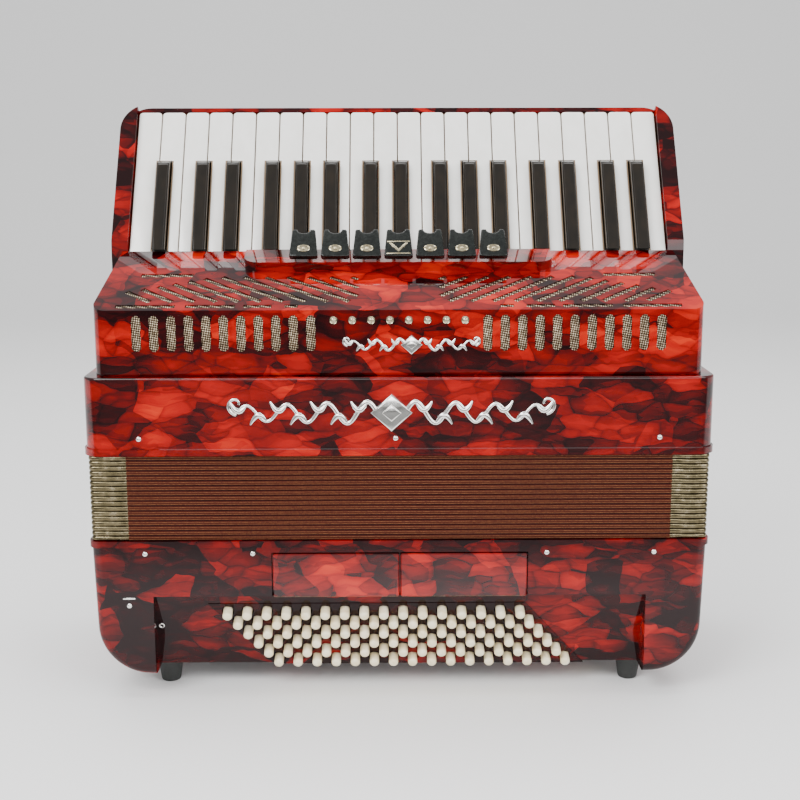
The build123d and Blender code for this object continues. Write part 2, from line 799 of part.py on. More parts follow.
# ---- shoulder-strap brackets: a plate, two ears and a bar, screwed to the back ----
bar_y = back_y + bracket_out - bracket_bar_radius
bracket_places = [
    (bracket_low_x, treble_rim_z + bracket_low_z),
    (bracket_high_x, treble_rim_z + bracket_low_z),
    (bracket_high_x, treble_rim_z + bracket_high_z),
]
with BuildPart() as strap_brackets:
    for x, z in bracket_places:
        with BuildSketch(Plane.XZ.offset(-back_y)):
            with Locations((x, z)):
                Rectangle(bracket_width, bracket_height)
        extrude(amount=-bracket_plate)
        with BuildSketch(Plane.YZ.offset(x - bracket_width / 2)):
            with Locations(((back_y + bar_y) / 2, z)):
                Rectangle(bar_y - back_y, 2 * bracket_ear)
            with Locations((bar_y, z)):
                Circle(bracket_bar_radius)
        extrude(amount=bracket_ear)
        with BuildSketch(Plane.YZ.offset(x + bracket_width / 2)):
            with Locations(((back_y + bar_y) / 2, z)):
                Rectangle(bar_y - back_y, 2 * bracket_ear)
            with Locations((bar_y, z)):
                Circle(bracket_bar_radius)
        extrude(amount=-bracket_ear)
        with BuildSketch(Plane.YZ.offset(x - bracket_width / 2)):
            with Locations((bar_y, z)):
                Circle(bracket_bar_radius)
        extrude(amount=bracket_width)
save(strap_brackets, "strap_brackets")
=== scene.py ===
import bpy
import json
import numpy as np
from math import atan2, cos, pi, radians, sin, tan
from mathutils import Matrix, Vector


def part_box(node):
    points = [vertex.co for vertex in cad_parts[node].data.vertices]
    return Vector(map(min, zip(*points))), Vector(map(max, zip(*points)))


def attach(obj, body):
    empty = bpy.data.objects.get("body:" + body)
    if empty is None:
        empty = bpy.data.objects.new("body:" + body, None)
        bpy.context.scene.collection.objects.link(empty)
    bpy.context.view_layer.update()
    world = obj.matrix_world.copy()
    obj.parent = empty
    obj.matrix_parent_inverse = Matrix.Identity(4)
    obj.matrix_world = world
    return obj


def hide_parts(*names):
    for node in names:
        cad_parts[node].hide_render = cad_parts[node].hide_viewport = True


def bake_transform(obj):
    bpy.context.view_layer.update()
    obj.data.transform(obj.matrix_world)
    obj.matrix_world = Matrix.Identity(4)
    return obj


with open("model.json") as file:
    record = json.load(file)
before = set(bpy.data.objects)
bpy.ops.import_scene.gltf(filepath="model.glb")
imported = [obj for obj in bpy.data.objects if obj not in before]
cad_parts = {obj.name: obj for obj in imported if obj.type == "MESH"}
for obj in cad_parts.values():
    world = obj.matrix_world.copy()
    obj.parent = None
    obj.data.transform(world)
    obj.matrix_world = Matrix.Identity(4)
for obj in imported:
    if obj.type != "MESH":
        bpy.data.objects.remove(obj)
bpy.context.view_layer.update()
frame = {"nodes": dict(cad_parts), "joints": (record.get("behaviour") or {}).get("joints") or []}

# ---- camera ----
# A long lens in front of the instrument and a little above it, looking down at the keyboard.
camera_data = bpy.data.cameras.new("camera")
camera_data.lens = 59.48
camera_data.sensor_width = 36.0
camera = bpy.data.objects.new("camera", camera_data)
bpy.context.scene.collection.objects.link(camera)
bpy.context.scene.camera = camera
camera.location = (-0.0091, -1.06355, 0.4176)
camera.rotation_euler = (radians(90 - 10.79), radians(0.11), radians(-0.58))


# ---- floor ----
# A studio sweep: level under the instrument, then curving up far behind it. It is pale under and behind the
# instrument and painted dark in front of it: painted shade, which the instrument's lower fronts reflect.
def grid_faces(rows, columns, round_columns=False, round_rows=False):
    """Quads between neighbours in a grid of points stored row by row: (r, c), (r, c + 1), (r + 1, c + 1),
    (r + 1, c). A round direction joins its end to its start."""
    r = np.arange(rows if round_rows else rows - 1)
    c = np.arange(columns if round_columns else columns - 1)
    r, c = np.meshgrid(r, c, indexing="ij")
    up, on = (r + 1) % rows, (c + 1) % columns
    quads = np.stack([r * columns + c, r * columns + on, up * columns + on, up * columns + c], -1)
    return quads.reshape(-1, 4)


def make_piece(name, parts, material, sharp=35.0, uv=None):
    """One mesh object from (points, faces) parts, whose faces may have any number of corners.
    Edges sharper than this angle stay crisp and the rest is smooth; uv is one pair per point."""
    points, faces, start = [], [], 0
    for part_points, part_faces in parts:
        part_points = np.asarray(part_points, float).reshape(-1, 3)
        points.append(part_points)
        faces += [[int(i) + start for i in face] for face in part_faces]
        start += len(part_points)
    mesh = bpy.data.meshes.new(name)
    mesh.from_pydata(np.concatenate(points).tolist(), [], faces)
    mesh.validate()
    if uv is not None:
        corners = np.zeros(len(mesh.loops), np.int32)
        mesh.loops.foreach_get("vertex_index", corners)
        layer = mesh.uv_layers.new(name="UVMap")
        layer.data.foreach_set("uv", np.asarray(uv, np.float32)[corners].ravel())
    mesh.shade_smooth()
    mesh.set_sharp_from_angle(angle=radians(sharp))
    mesh.materials.append(material)
    piece = bpy.data.objects.new(name, mesh)
    bpy.context.scene.collection.objects.link(piece)
    return piece


def new_material(name, roughness=0.5, metallic=0.0, coat=0.0, coat_roughness=0.03, specular=0.5):
    """A material with its node tree, its shader and its Object coordinates."""
    material = bpy.data.materials.new(name)
    material.use_nodes = True
    tree = material.node_tree
    shader = tree.nodes["Principled BSDF"]
    shader.inputs["Roughness"].default_value = roughness
    shader.inputs["Metallic"].default_value = metallic
    shader.inputs["Coat Weight"].default_value = coat
    shader.inputs["Coat Roughness"].default_value = coat_roughness
    shader.inputs["Specular IOR Level"].default_value = specular
    place = tree.nodes.new("ShaderNodeTexCoord")
    return material, tree, shader, place.outputs["Object"]


def mapped(tree, place, scale=(1, 1, 1), turn=(0, 0, 0)):
    """The coordinates stretched and turned, so that a pattern can run along a piece."""
    mapping = tree.nodes.new("ShaderNodeMapping")
    mapping.inputs["Scale"].default_value = scale
    mapping.inputs["Rotation"].default_value = turn
    tree.links.new(place, mapping.inputs["Vector"])
    return mapping.outputs["Vector"]


def noise(tree, place, scale, detail=3.0, rough=0.5, distortion=0.0):
    """Cloudy noise from 0 to 1; scale counts its lumps per metre."""
    texture = tree.nodes.new("ShaderNodeTexNoise")
    texture.inputs["Scale"].default_value = scale
    texture.inputs["Detail"].default_value = detail
    texture.inputs["Roughness"].default_value = rough
    texture.inputs["Distortion"].default_value = distortion
    tree.links.new(place, texture.inputs["Vector"])
    return texture.outputs["Fac"]


def paint(tree, shader, value, stops):
    """Colour a surface by a value from 0 to 1, blended between (place, (red, green, blue)) stops."""
    band = tree.nodes.new("ShaderNodeValToRGB")
    while len(band.color_ramp.elements) < len(stops):
        band.color_ramp.elements.new(0.5)
    for element, (at, colour) in zip(band.color_ramp.elements, stops):
        element.position = at
        element.color = (*colour, 1.0)
    tree.links.new(value, band.inputs["Fac"])
    tree.links.new(band.outputs["Color"], shader.inputs["Base Color"])


def arithmetic(tree, kind, first, second=0.0):
    """One sum on two values; either may be a plain number."""
    node = tree.nodes.new("ShaderNodeMath")
    node.operation = kind
    for socket, value in zip(node.inputs, (first, second)):
        if isinstance(value, (int, float)):
            socket.default_value = value
        else:
            tree.links.new(value, socket)
    return node.outputs["Value"]


def plus(tree, first, second):
    """first + second."""
    return arithmetic(tree, "ADD", first, second)


def times(tree, first, second):
    """first x second."""
    return arithmetic(tree, "MULTIPLY", first, second)


def relief(tree, shader, height, depth, strength=1.0):
    """Raise the surface by a height from 0 to 1 times a depth in metres."""
    bump = tree.nodes.new("ShaderNodeBump")
    bump.inputs["Strength"].default_value = strength
    bump.inputs["Distance"].default_value = depth
    tree.links.new(height, bump.inputs["Height"])
    tree.links.new(bump.outputs["Normal"], shader.inputs["Normal"])


floor_half = 3.0
floor_far = 2.2
floor_bend = 1.5
across = np.linspace(-floor_half, floor_half, 3)
turn = np.linspace(0, pi / 2, 24)
sweep_y = np.concatenate([[-floor_half], floor_far + floor_bend * np.sin(turn), [floor_far + floor_bend]])
sweep_z = np.concatenate([[0], floor_bend * (1 - np.cos(turn)), [floor_half + floor_bend]])
floor_points = np.stack(np.broadcast_arrays(across[None, :], sweep_y[:, None], sweep_z[:, None]), -1)
floor_material, tree, shader, place = new_material("studio_paper", roughness=0.6)
split = tree.nodes.new("ShaderNodeSeparateXYZ")
tree.links.new(place, split.inputs["Vector"])
# painted shade: from about half a metre in front of the instrument the floor turns dark
front_shade = plus(tree, plus(tree, split.outputs["Y"], times(tree, noise(tree, place, 3.0), 0.05)), 1.0)
paint(tree, shader, front_shade, [(0.44, (0.06, 0.06, 0.06)), (0.68, (0.93, 0.93, 0.93))])
floor = make_piece("studio_floor", [(floor_points, grid_faces(len(sweep_y), len(across)))], floor_material)

# ---- lights ----
# Two large soft boxes high at the front, a low one straight ahead, a wide one overhead, and a pale
# room all round.
for name, spot, energy, width, height in (
    ("key_light", (-1.1, -1.5, 1.7), 50.0, 1.2, 1.2),
    ("fill_light", (1.3, -1.4, 1.1), 24.0, 1.2, 1.2),
    ("front_light", (0.1, -1.9, 0.5), 10.0, 1.2, 0.4),
    ("top_light", (0.0, 0.3, 2.2), 44.0, 2.4, 1.4),
):
    light_data = bpy.data.lights.new(name, "AREA")
    light_data.shape = "RECTANGLE"
    light_data.size, light_data.size_y = width, height
    light_data.energy = energy
    light = bpy.data.objects.new(name, light_data)
    bpy.context.scene.collection.objects.link(light)
    light.location = spot
    aim = np.array((0.0, 0.0, 0.22)) - np.array(spot)
    light.rotation_euler = (
        atan2(float(np.hypot(aim[0], aim[1])), -float(aim[2])),
        0.0,
        atan2(float(aim[1]), float(aim[0])) - pi / 2,
    )
room = bpy.data.worlds.new("room")
room.use_nodes = True
room.node_tree.nodes["Background"].inputs["Color"].default_value = (1.0, 1.0, 1.0, 1.0)
room.node_tree.nodes["Background"].inputs["Strength"].default_value = 0.75
bpy.context.scene.world = room

# ---- wooden bodies in red pearloid ----
# Both cases, the grille, the keyboard's bed and the two bass register plates are wood, covered with
# glossy marbled celluloid sheet: broad flakes from near-black maroon to bright orange-red, under lacquer.
# The bass case and the keyboard's bed get a darker copy of the same sheet: painted shade.
def pearloid_sheet(name, shade, lacquer):
    """Marbled celluloid; shade from 0 to 1 is a painted shade that moves the whole marbling towards maroon
    and black, and lacquer is the weight of the clear coat."""
    material, tree, shader, place = new_material(
        name, roughness=0.3, coat=lacquer, coat_roughness=0.015, specular=0.0
    )
    warp = tree.nodes.new("ShaderNodeTexNoise")
    warp.inputs["Scale"].default_value = 34.0
    warp.inputs["Detail"].default_value = 2.0
    tree.links.new(place, warp.inputs["Vector"])
    shift = tree.nodes.new("ShaderNodeVectorMath")
    shift.operation = "MULTIPLY_ADD"
    shift.inputs[1].default_value = (0.014, 0.014, 0.014)
    tree.links.new(warp.outputs["Color"], shift.inputs[0])
    tree.links.new(place, shift.inputs[2])

    warped = shift.outputs["Vector"]

    def flakes(turned, scale, stretch):
        """One random value per flake and the distance from its heart, for this many flakes per metre."""
        cells = tree.nodes.new("ShaderNodeTexVoronoi")
        cells.inputs["Scale"].default_value = scale
        tree.links.new(mapped(tree, warped, stretch, turned), cells.inputs["Vector"])
        split = tree.nodes.new("ShaderNodeSeparateColor")
        tree.links.new(cells.outputs["Color"], split.inputs["Color"])
        return split.outputs["Red"], cells.outputs["Distance"]

    middle_turn, middle_scale, middle_stretch = (0.2, -0.7, 0.3), 62.0, (0.6, 1.0, 1.5)
    large, large_painted_sheen = flakes((0.4, 0.5, 0.6), 30.0, (1.0, 1.0, 1.5))
    middle, middle_painted_sheen = flakes(middle_turn, middle_scale, middle_stretch)
    small, _ = flakes((0.9, 0.6, -0.4), 150.0, (0.45, 1.0, 1.8))
    streak = noise(tree, mapped(tree, warped, (30.0, 30.0, 160.0), (0.3, 0.9, 0.2)), 1.0, 4.0, 0.6)
    cloud = noise(tree, place, 11.0, 3.0, 0.5)
    # each flake's random value is partly the marbling's own colour and partly painted sheen, and the
    # distances from the flakes' hearts paint each flake lighter at its heart: painted sheen
    mixed = times(tree, large, 0.34)
    for value, share in (
        (middle, 0.26), (small, 0.1), (streak, 0.25), (cloud, 0.4),
        (large_painted_sheen, -0.22), (middle_painted_sheen, -0.12),
    ):
        mixed = plus(tree, mixed, times(tree, value, share))
    edges = tree.nodes.new("ShaderNodeTexVoronoi")
    edges.feature = "DISTANCE_TO_EDGE"
    edges.inputs["Scale"].default_value = middle_scale
    tree.links.new(mapped(tree, warped, middle_stretch, middle_turn), edges.inputs["Vector"])
    # a dark line runs along the middle flakes' edges
    vein = arithmetic(tree, "MINIMUM", times(tree, edges.outputs["Distance"], 12.0), 1.0)
    mixed = plus(tree, mixed, times(tree, vein, 0.07))
    mixed = arithmetic(tree, "SUBTRACT", mixed, shade + 0.06)
    paint(tree, shader, mixed, [
        (0.20, (0.008, 0.0006, 0.0010)), (0.33, (0.028, 0.0009, 0.0014)),
        (0.43, (0.085, 0.0012, 0.0012)), (0.55, (0.19, 0.0020, 0.0014)),
        (0.70, (0.36, 0.0045, 0.0022)), (0.88, (0.54, 0.025, 0.005)),
    ])
    relief(tree, shader, middle, 0.0002, 0.15)
    return material


def cover(name, material):
    """Give the whole of a carried-over piece this one material."""
    frame["nodes"][name].data.materials.clear()
    frame["nodes"][name].data.materials.append(material)


pearloid = pearloid_sheet("red_pearloid", 0.0, 1.0)
# a darker copy of the same sheet for the bass case and the keyboard's bed: painted shade, since these lie in
# less light
shaded_pearloid = pearloid_sheet("shaded_red_pearloid", 0.13, 0.6)
for name, sheet in (
    ("bass_case", shaded_pearloid), ("treble_case", pearloid), ("treble_grille", pearloid),
    ("keyboard_bed", shaded_pearloid), ("bass_register_1", pearloid), ("bass_register_2", pearloid),
):
    cover(name, sheet)

# ---- white keys ----
# Each key is a limewood lever with a cap of polished white celluloid, rounded along its edges and
# at its tip's corners, and folded down over the tip as a lip. The wood below shows at the sides.
key_hinge = next(j for j in frame["joints"] if j["name"] == "white_key_01_hinge")["pos_m"]
lean = radians(32.0)
rod_back, rod_depth = 0.012, 0.013
key_y = key_hinge[1] + rod_back * sin(lean) - rod_depth * cos(lean)
key_z = key_hinge[2] + rod_back * cos(lean) + rod_depth * sin(lean)
key_length, notch_length = 0.129, 0.047


def on_keys(x, along, out):
    """Points from distances across, up the keys from the grille, and out of the key tops:
    y = key_y + along sin(lean) - out cos(lean), z = key_z + along cos(lean) + out sin(lean)."""
    x, along, out = np.broadcast_arrays(x, along, out)
    y = key_y + along * sin(lean) - out * cos(lean)
    z = key_z + along * cos(lean) + out * sin(lean)
    return np.stack([x, y, z], -1)


def drawn_in(outline, inset):
    """A closed anticlockwise outline moved inwards: each corner goes along (n1 + n2) / (1 + n1.n2)."""
    edge = np.roll(outline, -1, 0) - outline
    normal = np.stack([-edge[:, 1], edge[:, 0]], -1) / np.linalg.norm(edge, axis=1)[:, None]
    before = np.roll(normal, 1, 0)
    mitre = (normal + before) / (1 + np.sum(normal * before, -1))[:, None]
    return outline + inset * mitre


def capped(outline, bottom, top, edge, place, steps=4):
    """A closed slab over an anticlockwise outline: upright sides from bottom up, a top edge rounded by
    inset = edge (1 - cos a), level = top - edge + edge sin a, then flat faces above and below.
    bottom is one level or one per corner, and place turns (u, v, w) into points."""
    angle = np.linspace(0, pi / 2, steps + 1)
    insets = np.concatenate([[0.0], edge * (1 - np.cos(angle))])
    rows = []
    for i, inset in enumerate(insets):
        ring = drawn_in(outline, inset) if inset > 0 else outline
        level = bottom if i == 0 else top - edge + edge * np.sin(angle[i - 1])
        rows.append(place(ring[:, 0], ring[:, 1], np.broadcast_to(level, len(outline))))
    count = len(outline)
    faces = grid_faces(len(rows), count, round_columns=True).tolist()
    faces.append(list(range(count))[::-1])
    faces.append(list(range((len(rows) - 1) * count, len(rows) * count)))
    return np.concatenate(rows), faces


def rounded_corner(corner, start, end, steps=5):
    """An arc tangent to both legs of a square corner, from start to end:
    corner + (start - corner)(1 - sin t) + (end - corner)(1 - cos t)."""
    t = np.linspace(0, pi / 2, steps)[:, None]
    corner, start, end = map(np.array, (corner, start, end))
    return corner + (start - corner) * (1 - np.sin(t)) + (end - corner) * (1 - np.cos(t))


white_wood, tree, shader, place = new_material("limewood", roughness=0.5)
grain = noise(tree, mapped(tree, place, (60.0, 6.0, 4.0)), 12.0, 4.0, 0.6, 0.4)
paint(tree, shader, grain, [(0.3, (0.16, 0.10, 0.055)), (0.7, (0.27, 0.18, 0.10))])
relief(tree, shader, grain, 0.0001, 0.3)

white_celluloid, tree, shader, place = new_material("white_celluloid", roughness=0.16, coat=0.5)
haze = noise(tree, mapped(tree, place, (1.0, 1.0, 0.25)), 90.0, 3.0, 0.6)
paint(tree, shader, haze, [(0.3, (0.86, 0.85, 0.81)), (0.7, (0.93, 0.92, 0.89))])
wear = noise(tree, place, 260.0, 3.0, 0.7)
tree.links.new(times(tree, wear, 0.3), shader.inputs["Roughness"])
relief(tree, shader, haze, 0.00008, 0.15)

white_count, black_count = 22, 15
sharp_boxes = [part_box(f"black_key_{n:02d}") for n in range(1, black_count + 1)]
black_gap = 0.0009
cap_proud, cap_side, cap_tip, cap_start, cap_edge = 0.0003, 0.00005, 0.00035, -0.01, 0.0009
cap_depth, lip_depth, lip_length, lip_step = 0.0025, 0.0113, 0.0031, 0.00001
tip_round = 0.003
notch_at = key_length - notch_length + black_gap - cap_side
for number in range(1, white_count + 1):
    name = f"white_key_{number:02d}"
    low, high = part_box(name)
    left, right = low[0] - cap_side, high[0] + cap_side
    tail_left, tail_right = left, right
    for black_low, black_high in sharp_boxes:
        if black_low[0] - black_gap < low[0] < black_high[0] + black_gap:
            tail_left = black_high[0] + black_gap - cap_side
        if black_low[0] - black_gap < high[0] < black_high[0] + black_gap:
            tail_right = black_low[0] - black_gap + cap_side
    tip, lip = key_length + cap_tip, key_length - lip_length
    outline = [(tail_left, cap_start), (tail_right, cap_start)]
    if tail_right < right:
        outline += [(tail_right, notch_at), (right, notch_at)]
    outline += [(right, lip), (right, lip + lip_step)]
    outline += rounded_corner((right, tip), (right, tip - tip_round), (right - tip_round, tip)).tolist()
    outline += rounded_corner((left, tip), (left + tip_round, tip), (left, tip - tip_round)).tolist()
    outline += [(left, lip + lip_step), (left, lip)]
    if tail_left > left:
        outline += [(left, notch_at), (tail_left, notch_at)]
    outline = np.array(outline)
    bottom = np.where(outline[:, 1] > lip, -lip_depth, -cap_depth)
    cap = make_piece(
        f"{name}_cap", [capped(outline, bottom, cap_proud, cap_edge, on_keys)], white_celluloid, sharp=50.0
    )
    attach(cap, name)
    cover(name, white_wood)

# ---- black keys ----
# The sharps are hardwood blocks stained black on the same kind of lever, each under a polished
# black cap with rounded long edges and a nose that slopes down to the white keys.
black_celluloid, tree, shader, place = new_material(
    "black_celluloid", roughness=0.12, coat=1.0, specular=0.0
)
haze = noise(tree, mapped(tree, place, (1.0, 1.0, 0.25)), 120.0, 3.0, 0.6)
paint(tree, shader, haze, [(0.3, (0.004, 0.0025, 0.0012)), (0.75, (0.012, 0.008, 0.004))])
tree.links.new(times(tree, noise(tree, place, 300.0), 0.3), shader.inputs["Roughness"])
relief(tree, shader, haze, 0.00008, 0.2)

black_wood, tree, shader, place = new_material("stained_wood", roughness=0.45)
grain = noise(tree, mapped(tree, place, (60.0, 6.0, 4.0)), 12.0, 4.0, 0.6, 0.4)
paint(tree, shader, grain, [(0.3, (0.012, 0.01, 0.009)), (0.7, (0.03, 0.026, 0.022))])
relief(tree, shader, grain, 0.0001, 0.3)

black_rise, black_nose, black_round, black_half, black_sunk = 0.00915, 0.006, 0.002, 0.0051, 0.001
heel_rise, nose_fall, nose_lift, nose_back = 0.0019, 1.7, 0.0002, 0.002
black_length = key_length - notch_length
nose_at = black_length - black_nose - nose_back
for number in range(1, black_count + 1):
    name = f"black_key_{number:02d}"
    low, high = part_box(name)
    middle, half = (low[0] + high[0]) / 2, black_half + cap_side
    # section: up one side, over the rounded and slightly crowned top, down the other side
    turn = np.linspace(0, pi / 2, 6)
    side_x = np.concatenate([[half, half], half - black_round + black_round * np.cos(turn[1:]), [0.0]])
    side_h = np.concatenate([[0.0, 0.72], 1 - (black_round / black_rise) * (1 - np.sin(turn[1:])), [1.012]])
    section_x = np.concatenate([side_x, -side_x[-2::-1]])
    section_h = np.concatenate([side_h, side_h[-2::-1]])
    # stations up the key: a level heel above the grille, a flat top, then the nose
    t = np.linspace(0, 1, 9)
    along = np.concatenate([[0.0, 0.006, 0.03, nose_at - 0.0012], nose_at + t * (black_nose + 0.0021)])
    fall = np.concatenate([[0, 0, 0, 0], t**nose_fall])
    height = black_rise * (1 - fall) + nose_lift * fall
    station, section = np.meshgrid(along, section_x, indexing="ij")
    out = -black_sunk + (height[:, None] + black_sunk) * section_h[None, :]
    station[0] = (heel_rise - out[0] * sin(lean)) / cos(lean)
    points = on_keys(middle + section, station, out)
    rows, columns = station.shape
    corners = np.arange(rows * columns).reshape(rows, columns)
    faces = grid_faces(rows, columns)[:, ::-1].tolist()
    faces += [corners[0, ::-1].tolist(), corners[-1].tolist()]
    faces.append(corners[:, 0].tolist() + corners[::-1, -1].tolist())
    cap = make_piece(f"{name}_cap", [(points.reshape(-1, 3), faces)], black_celluloid, sharp=50.0)
    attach(cap, name)
    cover(name, black_wood)

# ---- bellows ----
# Seventeen folds of card: each has a padded ridge strip bound in maroon cloth with gilt threads, and
# two thin card faces that run in to the valleys.
bellows_low, bellows_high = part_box("bellows")
bass_rim, treble_rim = bellows_low[2], bellows_high[2]
fold_count, fold_deep = 17, 0.015
ridge_corner, valley_corner, corner_points = 0.004, 0.0005, 6
fold_high = (treble_rim - bass_rim) / fold_count
ring_middle = ((bellows_low[0] + bellows_high[0]) / 2, (bellows_low[1] + bellows_high[1]) / 2)
ring_half = ((bellows_high[0] - bellows_low[0]) / 2, (bellows_high[1] - bellows_low[1]) / 2)


def ring_at(depth, corner):
    """A rounded rectangle this far inside the ridges, anticlockwise from the front right corner:
    middle + sign (half - depth - corner) + corner (cos a, sin a), with a quarter turn at each corner."""
    quarter = np.arange(4)[:, None]
    sx, sy = np.array([[1], [1], [-1], [-1]]), np.array([[-1], [1], [1], [-1]])
    theta = np.linspace(0, pi / 2, corner_points) + (quarter - 1) * pi / 2
    x = ring_middle[0] + sx * (ring_half[0] - depth - corner) + corner * np.cos(theta)
    y = ring_middle[1] + sy * (ring_half[1] - depth - corner) + corner * np.sin(theta)
    return np.stack([x, y], -1).reshape(-1, 2)


def ring_band(profile, level):
    """A closed profile of (depth, height) pairs carried round the bellows; each depth has its own ring,
    whose corners tighten from the ridge inwards so that the card meets in a mitre. The uv pairs are
    equal steps round the ring and the length along the profile."""
    rings = []
    for depth, height in profile:
        ring = ring_at(depth, max(valley_corner, ridge_corner * (1 - depth / fold_deep)))
        rings.append(np.concatenate([ring, np.full((len(ring), 1), level + height)], 1))
    points = np.stack(rings)
    around = np.linspace(0, 4 * (ring_half[0] + ring_half[1]), points.shape[1])
    profile = np.array(profile)
    step = np.linalg.norm(np.diff(profile, axis=0), axis=1)
    over = np.concatenate([[0.0], np.cumsum(step)])
    uv = np.stack(np.broadcast_arrays(around[None, :], over[:, None]), -1).reshape(-1, 2)
    faces = grid_faces(points.shape[0], points.shape[1], round_columns=True, round_rows=True)
    return points.reshape(-1, 3), faces, uv


def share_to_step(share):
    """The t for which 3t^2 - 2t^3 is this share."""
    t = np.linspace(0, 1, 4001)
    return float(np.interp(share, t * t * (3 - 2 * t), t))


def spread(piece):
    """Bake the piece's placement into its mesh."""
    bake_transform(piece)


cloth, tree, shader, place = new_material("bellows_cloth", roughness=0.75, specular=0.15)
shader.inputs["Sheen Weight"].default_value = 0.05
uv = tree.nodes.new("ShaderNodeUVMap")
uv.uv_map = "UVMap"
split = tree.nodes.new("ShaderNodeSeparateXYZ")
tree.links.new(uv.outputs["UV"], split.inputs["Vector"])
cloth_pitch = 0.0009
weave_u = arithmetic(tree, "SINE", times(tree, split.outputs["X"], 2 * pi / cloth_pitch))
weave_v = arithmetic(tree, "SINE", times(tree, split.outputs["Y"], 2 * pi / cloth_pitch))
weave = plus(tree, times(tree, times(tree, weave_u, weave_v), 0.5), 0.5)
mottle = noise(tree, mapped(tree, uv.outputs["UV"], (1.0, 3.0, 1.0)), 500.0, 3.0, 0.6)
tone = plus(tree, times(tree, weave, 0.35), times(tree, mottle, 0.65))
paint(tree, shader, tone, [
    (0.25, (0.022, 0.0022, 0.0011)), (0.5, (0.055, 0.0055, 0.0027)), (0.75, (0.10, 0.015, 0.007)),
])
relief(tree, shader, weave, 0.0002, 0.6)

gilt_thread, tree, shader, place = new_material("gilt_thread", roughness=0.45, metallic=0.5)
twist = noise(tree, mapped(tree, place, (1.0, 1.0, 3.0)), 900.0, 2.0)
paint(tree, shader, twist, [(0.3, (0.08, 0.02, 0.006)), (0.7, (0.26, 0.11, 0.035))])
relief(tree, shader, twist, 0.0001, 0.5)

card, tree, shader, place = new_material("bellows_card", roughness=0.8)
fibre = noise(tree, place, 400.0, 4.0, 0.6)
paint(tree, shader, fibre, [(0.3, (0.02, 0.005, 0.005)), (0.7, (0.055, 0.012, 0.011))])
relief(tree, shader, fibre, 0.0001, 0.3)

nickel, tree, shader, place = new_material("nickel", roughness=0.22, metallic=1.0)
# the nickel's colour is painted dark overall, painted shade for the dark surroundings it reflects, with
# tarnish that differs at random
tarnish_and_shade = noise(tree, place, 160.0, 4.0, 0.6)
paint(tree, shader, tarnish_and_shade, [
    (0.3, (0.08, 0.065, 0.033)), (0.55, (0.17, 0.14, 0.08)), (0.8, (0.34, 0.29, 0.2)),
])
tree.links.new(plus(tree, times(tree, tarnish_and_shade, 0.25), 0.12), shader.inputs["Roughness"])
relief(tree, shader, noise(tree, place, 700.0), 0.00005, 0.3)

# profiles of (depth, height) about a fold's middle: the padded strip, one thread, and a nickel corner
strip = [(0.004, -0.0007), (0.0012, -0.0017), (0.0005, -0.00165), (0.00012, -0.0011), (0.0, 0.0)]
strip += [(d, -h) for d, h in strip[-2::-1]]
thread = [(0.0003, -0.00022), (-0.00012, -0.00016), (-0.00012, 0.00016), (0.0003, 0.00022)]
clip = [(0.004, -0.001), (0.0012, -0.00185), (0.0004, -0.0018), (-0.0002, -0.0012), (-0.00035, 0.0)]
clip += [(d, -h) for d, h in clip[-2::-1]]
clip_front, clip_side, thread_up = 0.024, 0.018, 0.00075
card_hold, card_inner, skin = 0.0005, 0.0036, 0.00015
before_way = np.array([[-1, 0], [0, -1], [1, 0], [0, 1]])
after_way = np.array([[0, 1], [-1, 0], [0, -1], [1, 0]])
for fold in range(fold_count):
    middle = bass_rim + (fold + 0.5) * fold_high
    share = (fold + 0.5) / fold_count
    points, faces, uv_pairs = ring_band(strip, middle)
    ridge = make_piece(f"bellows_ridge_{fold + 1:02d}", [(points, faces)], cloth, sharp=60.0, uv=uv_pairs)
    threads = []
    for height in (-thread_up, thread_up):
        points, faces, _ = ring_band([(d, h + height) for d, h in thread], middle)
        threads.append((points, faces))
    threads = make_piece(f"bellows_threads_{fold + 1:02d}", threads, gilt_thread)
    # four nickel corners, each a channel bent round one corner of the strip
    corners = []
    for quarter in range(4):
        rings = []
        for depth, height in clip:
            bend = ring_at(depth, ridge_corner * (1 - depth / fold_deep))
            bend = bend.reshape(4, corner_points, 2)[quarter]
            lead = (clip_side, clip_front) if quarter % 2 else (clip_front, clip_side)
            # straight legs before and after the corner, along the two sides that meet there
            before = bend[0] + before_way[quarter] * lead[0]
            after = bend[-1] + after_way[quarter] * lead[1]
            bend = np.concatenate([[before], bend, [after]])
            rings.append(np.concatenate([bend, np.full((len(bend), 1), middle + height)], 1))
        points = np.stack(rings)
        rows, columns = points.shape[:2]
        ends = np.arange(rows * columns).reshape(rows, columns)
        faces = grid_faces(rows, columns, round_rows=True).tolist()
        faces += [ends[:, 0].tolist(), ends[::-1, -1].tolist()]
        corners.append((points.reshape(-1, 3), faces))
    corners = make_piece(f"bellows_corners_{fold + 1:02d}", corners, nickel, sharp=60.0)
    # for each of these the eased step for its share is worked out, and its placement is baked into its mesh
    for piece in (ridge, threads, corners):
        t = share_to_step(share)
        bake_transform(piece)
    # the two card faces, from the valleys to the strip
    for half, sign in (("lower", -1), ("upper", 1)):
        valley, hold = sign * fold_high / 2, sign * card_hold
        profile = [(fold_deep, valley), (card_inner, hold)]
        profile += [(depth, height - sign * skin) for depth, height in profile[::-1]]
        points, faces, _ = ring_band(profile, middle)
        if sign > 0:  # this profile runs the other way round
            faces = faces[:, ::-1]
        leaf = make_piece(f"bellows_{half}_card_{fold + 1:02d}", [(points, faces)], card)
        spread(leaf)
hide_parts("bellows")

# ---- gauze behind the grille's slots ----
# Strips of brass and silver wire cloth fill every slot just under the celluloid: upright slots along
# the front, and slanting ones, a row along the bend and one in each corner on the sloping face.
grille_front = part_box("treble_grille")[0][1]
slope = radians(23.0)
grille_rise = 0.0495
bend_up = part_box("treble_case")[1][2] + grille_rise


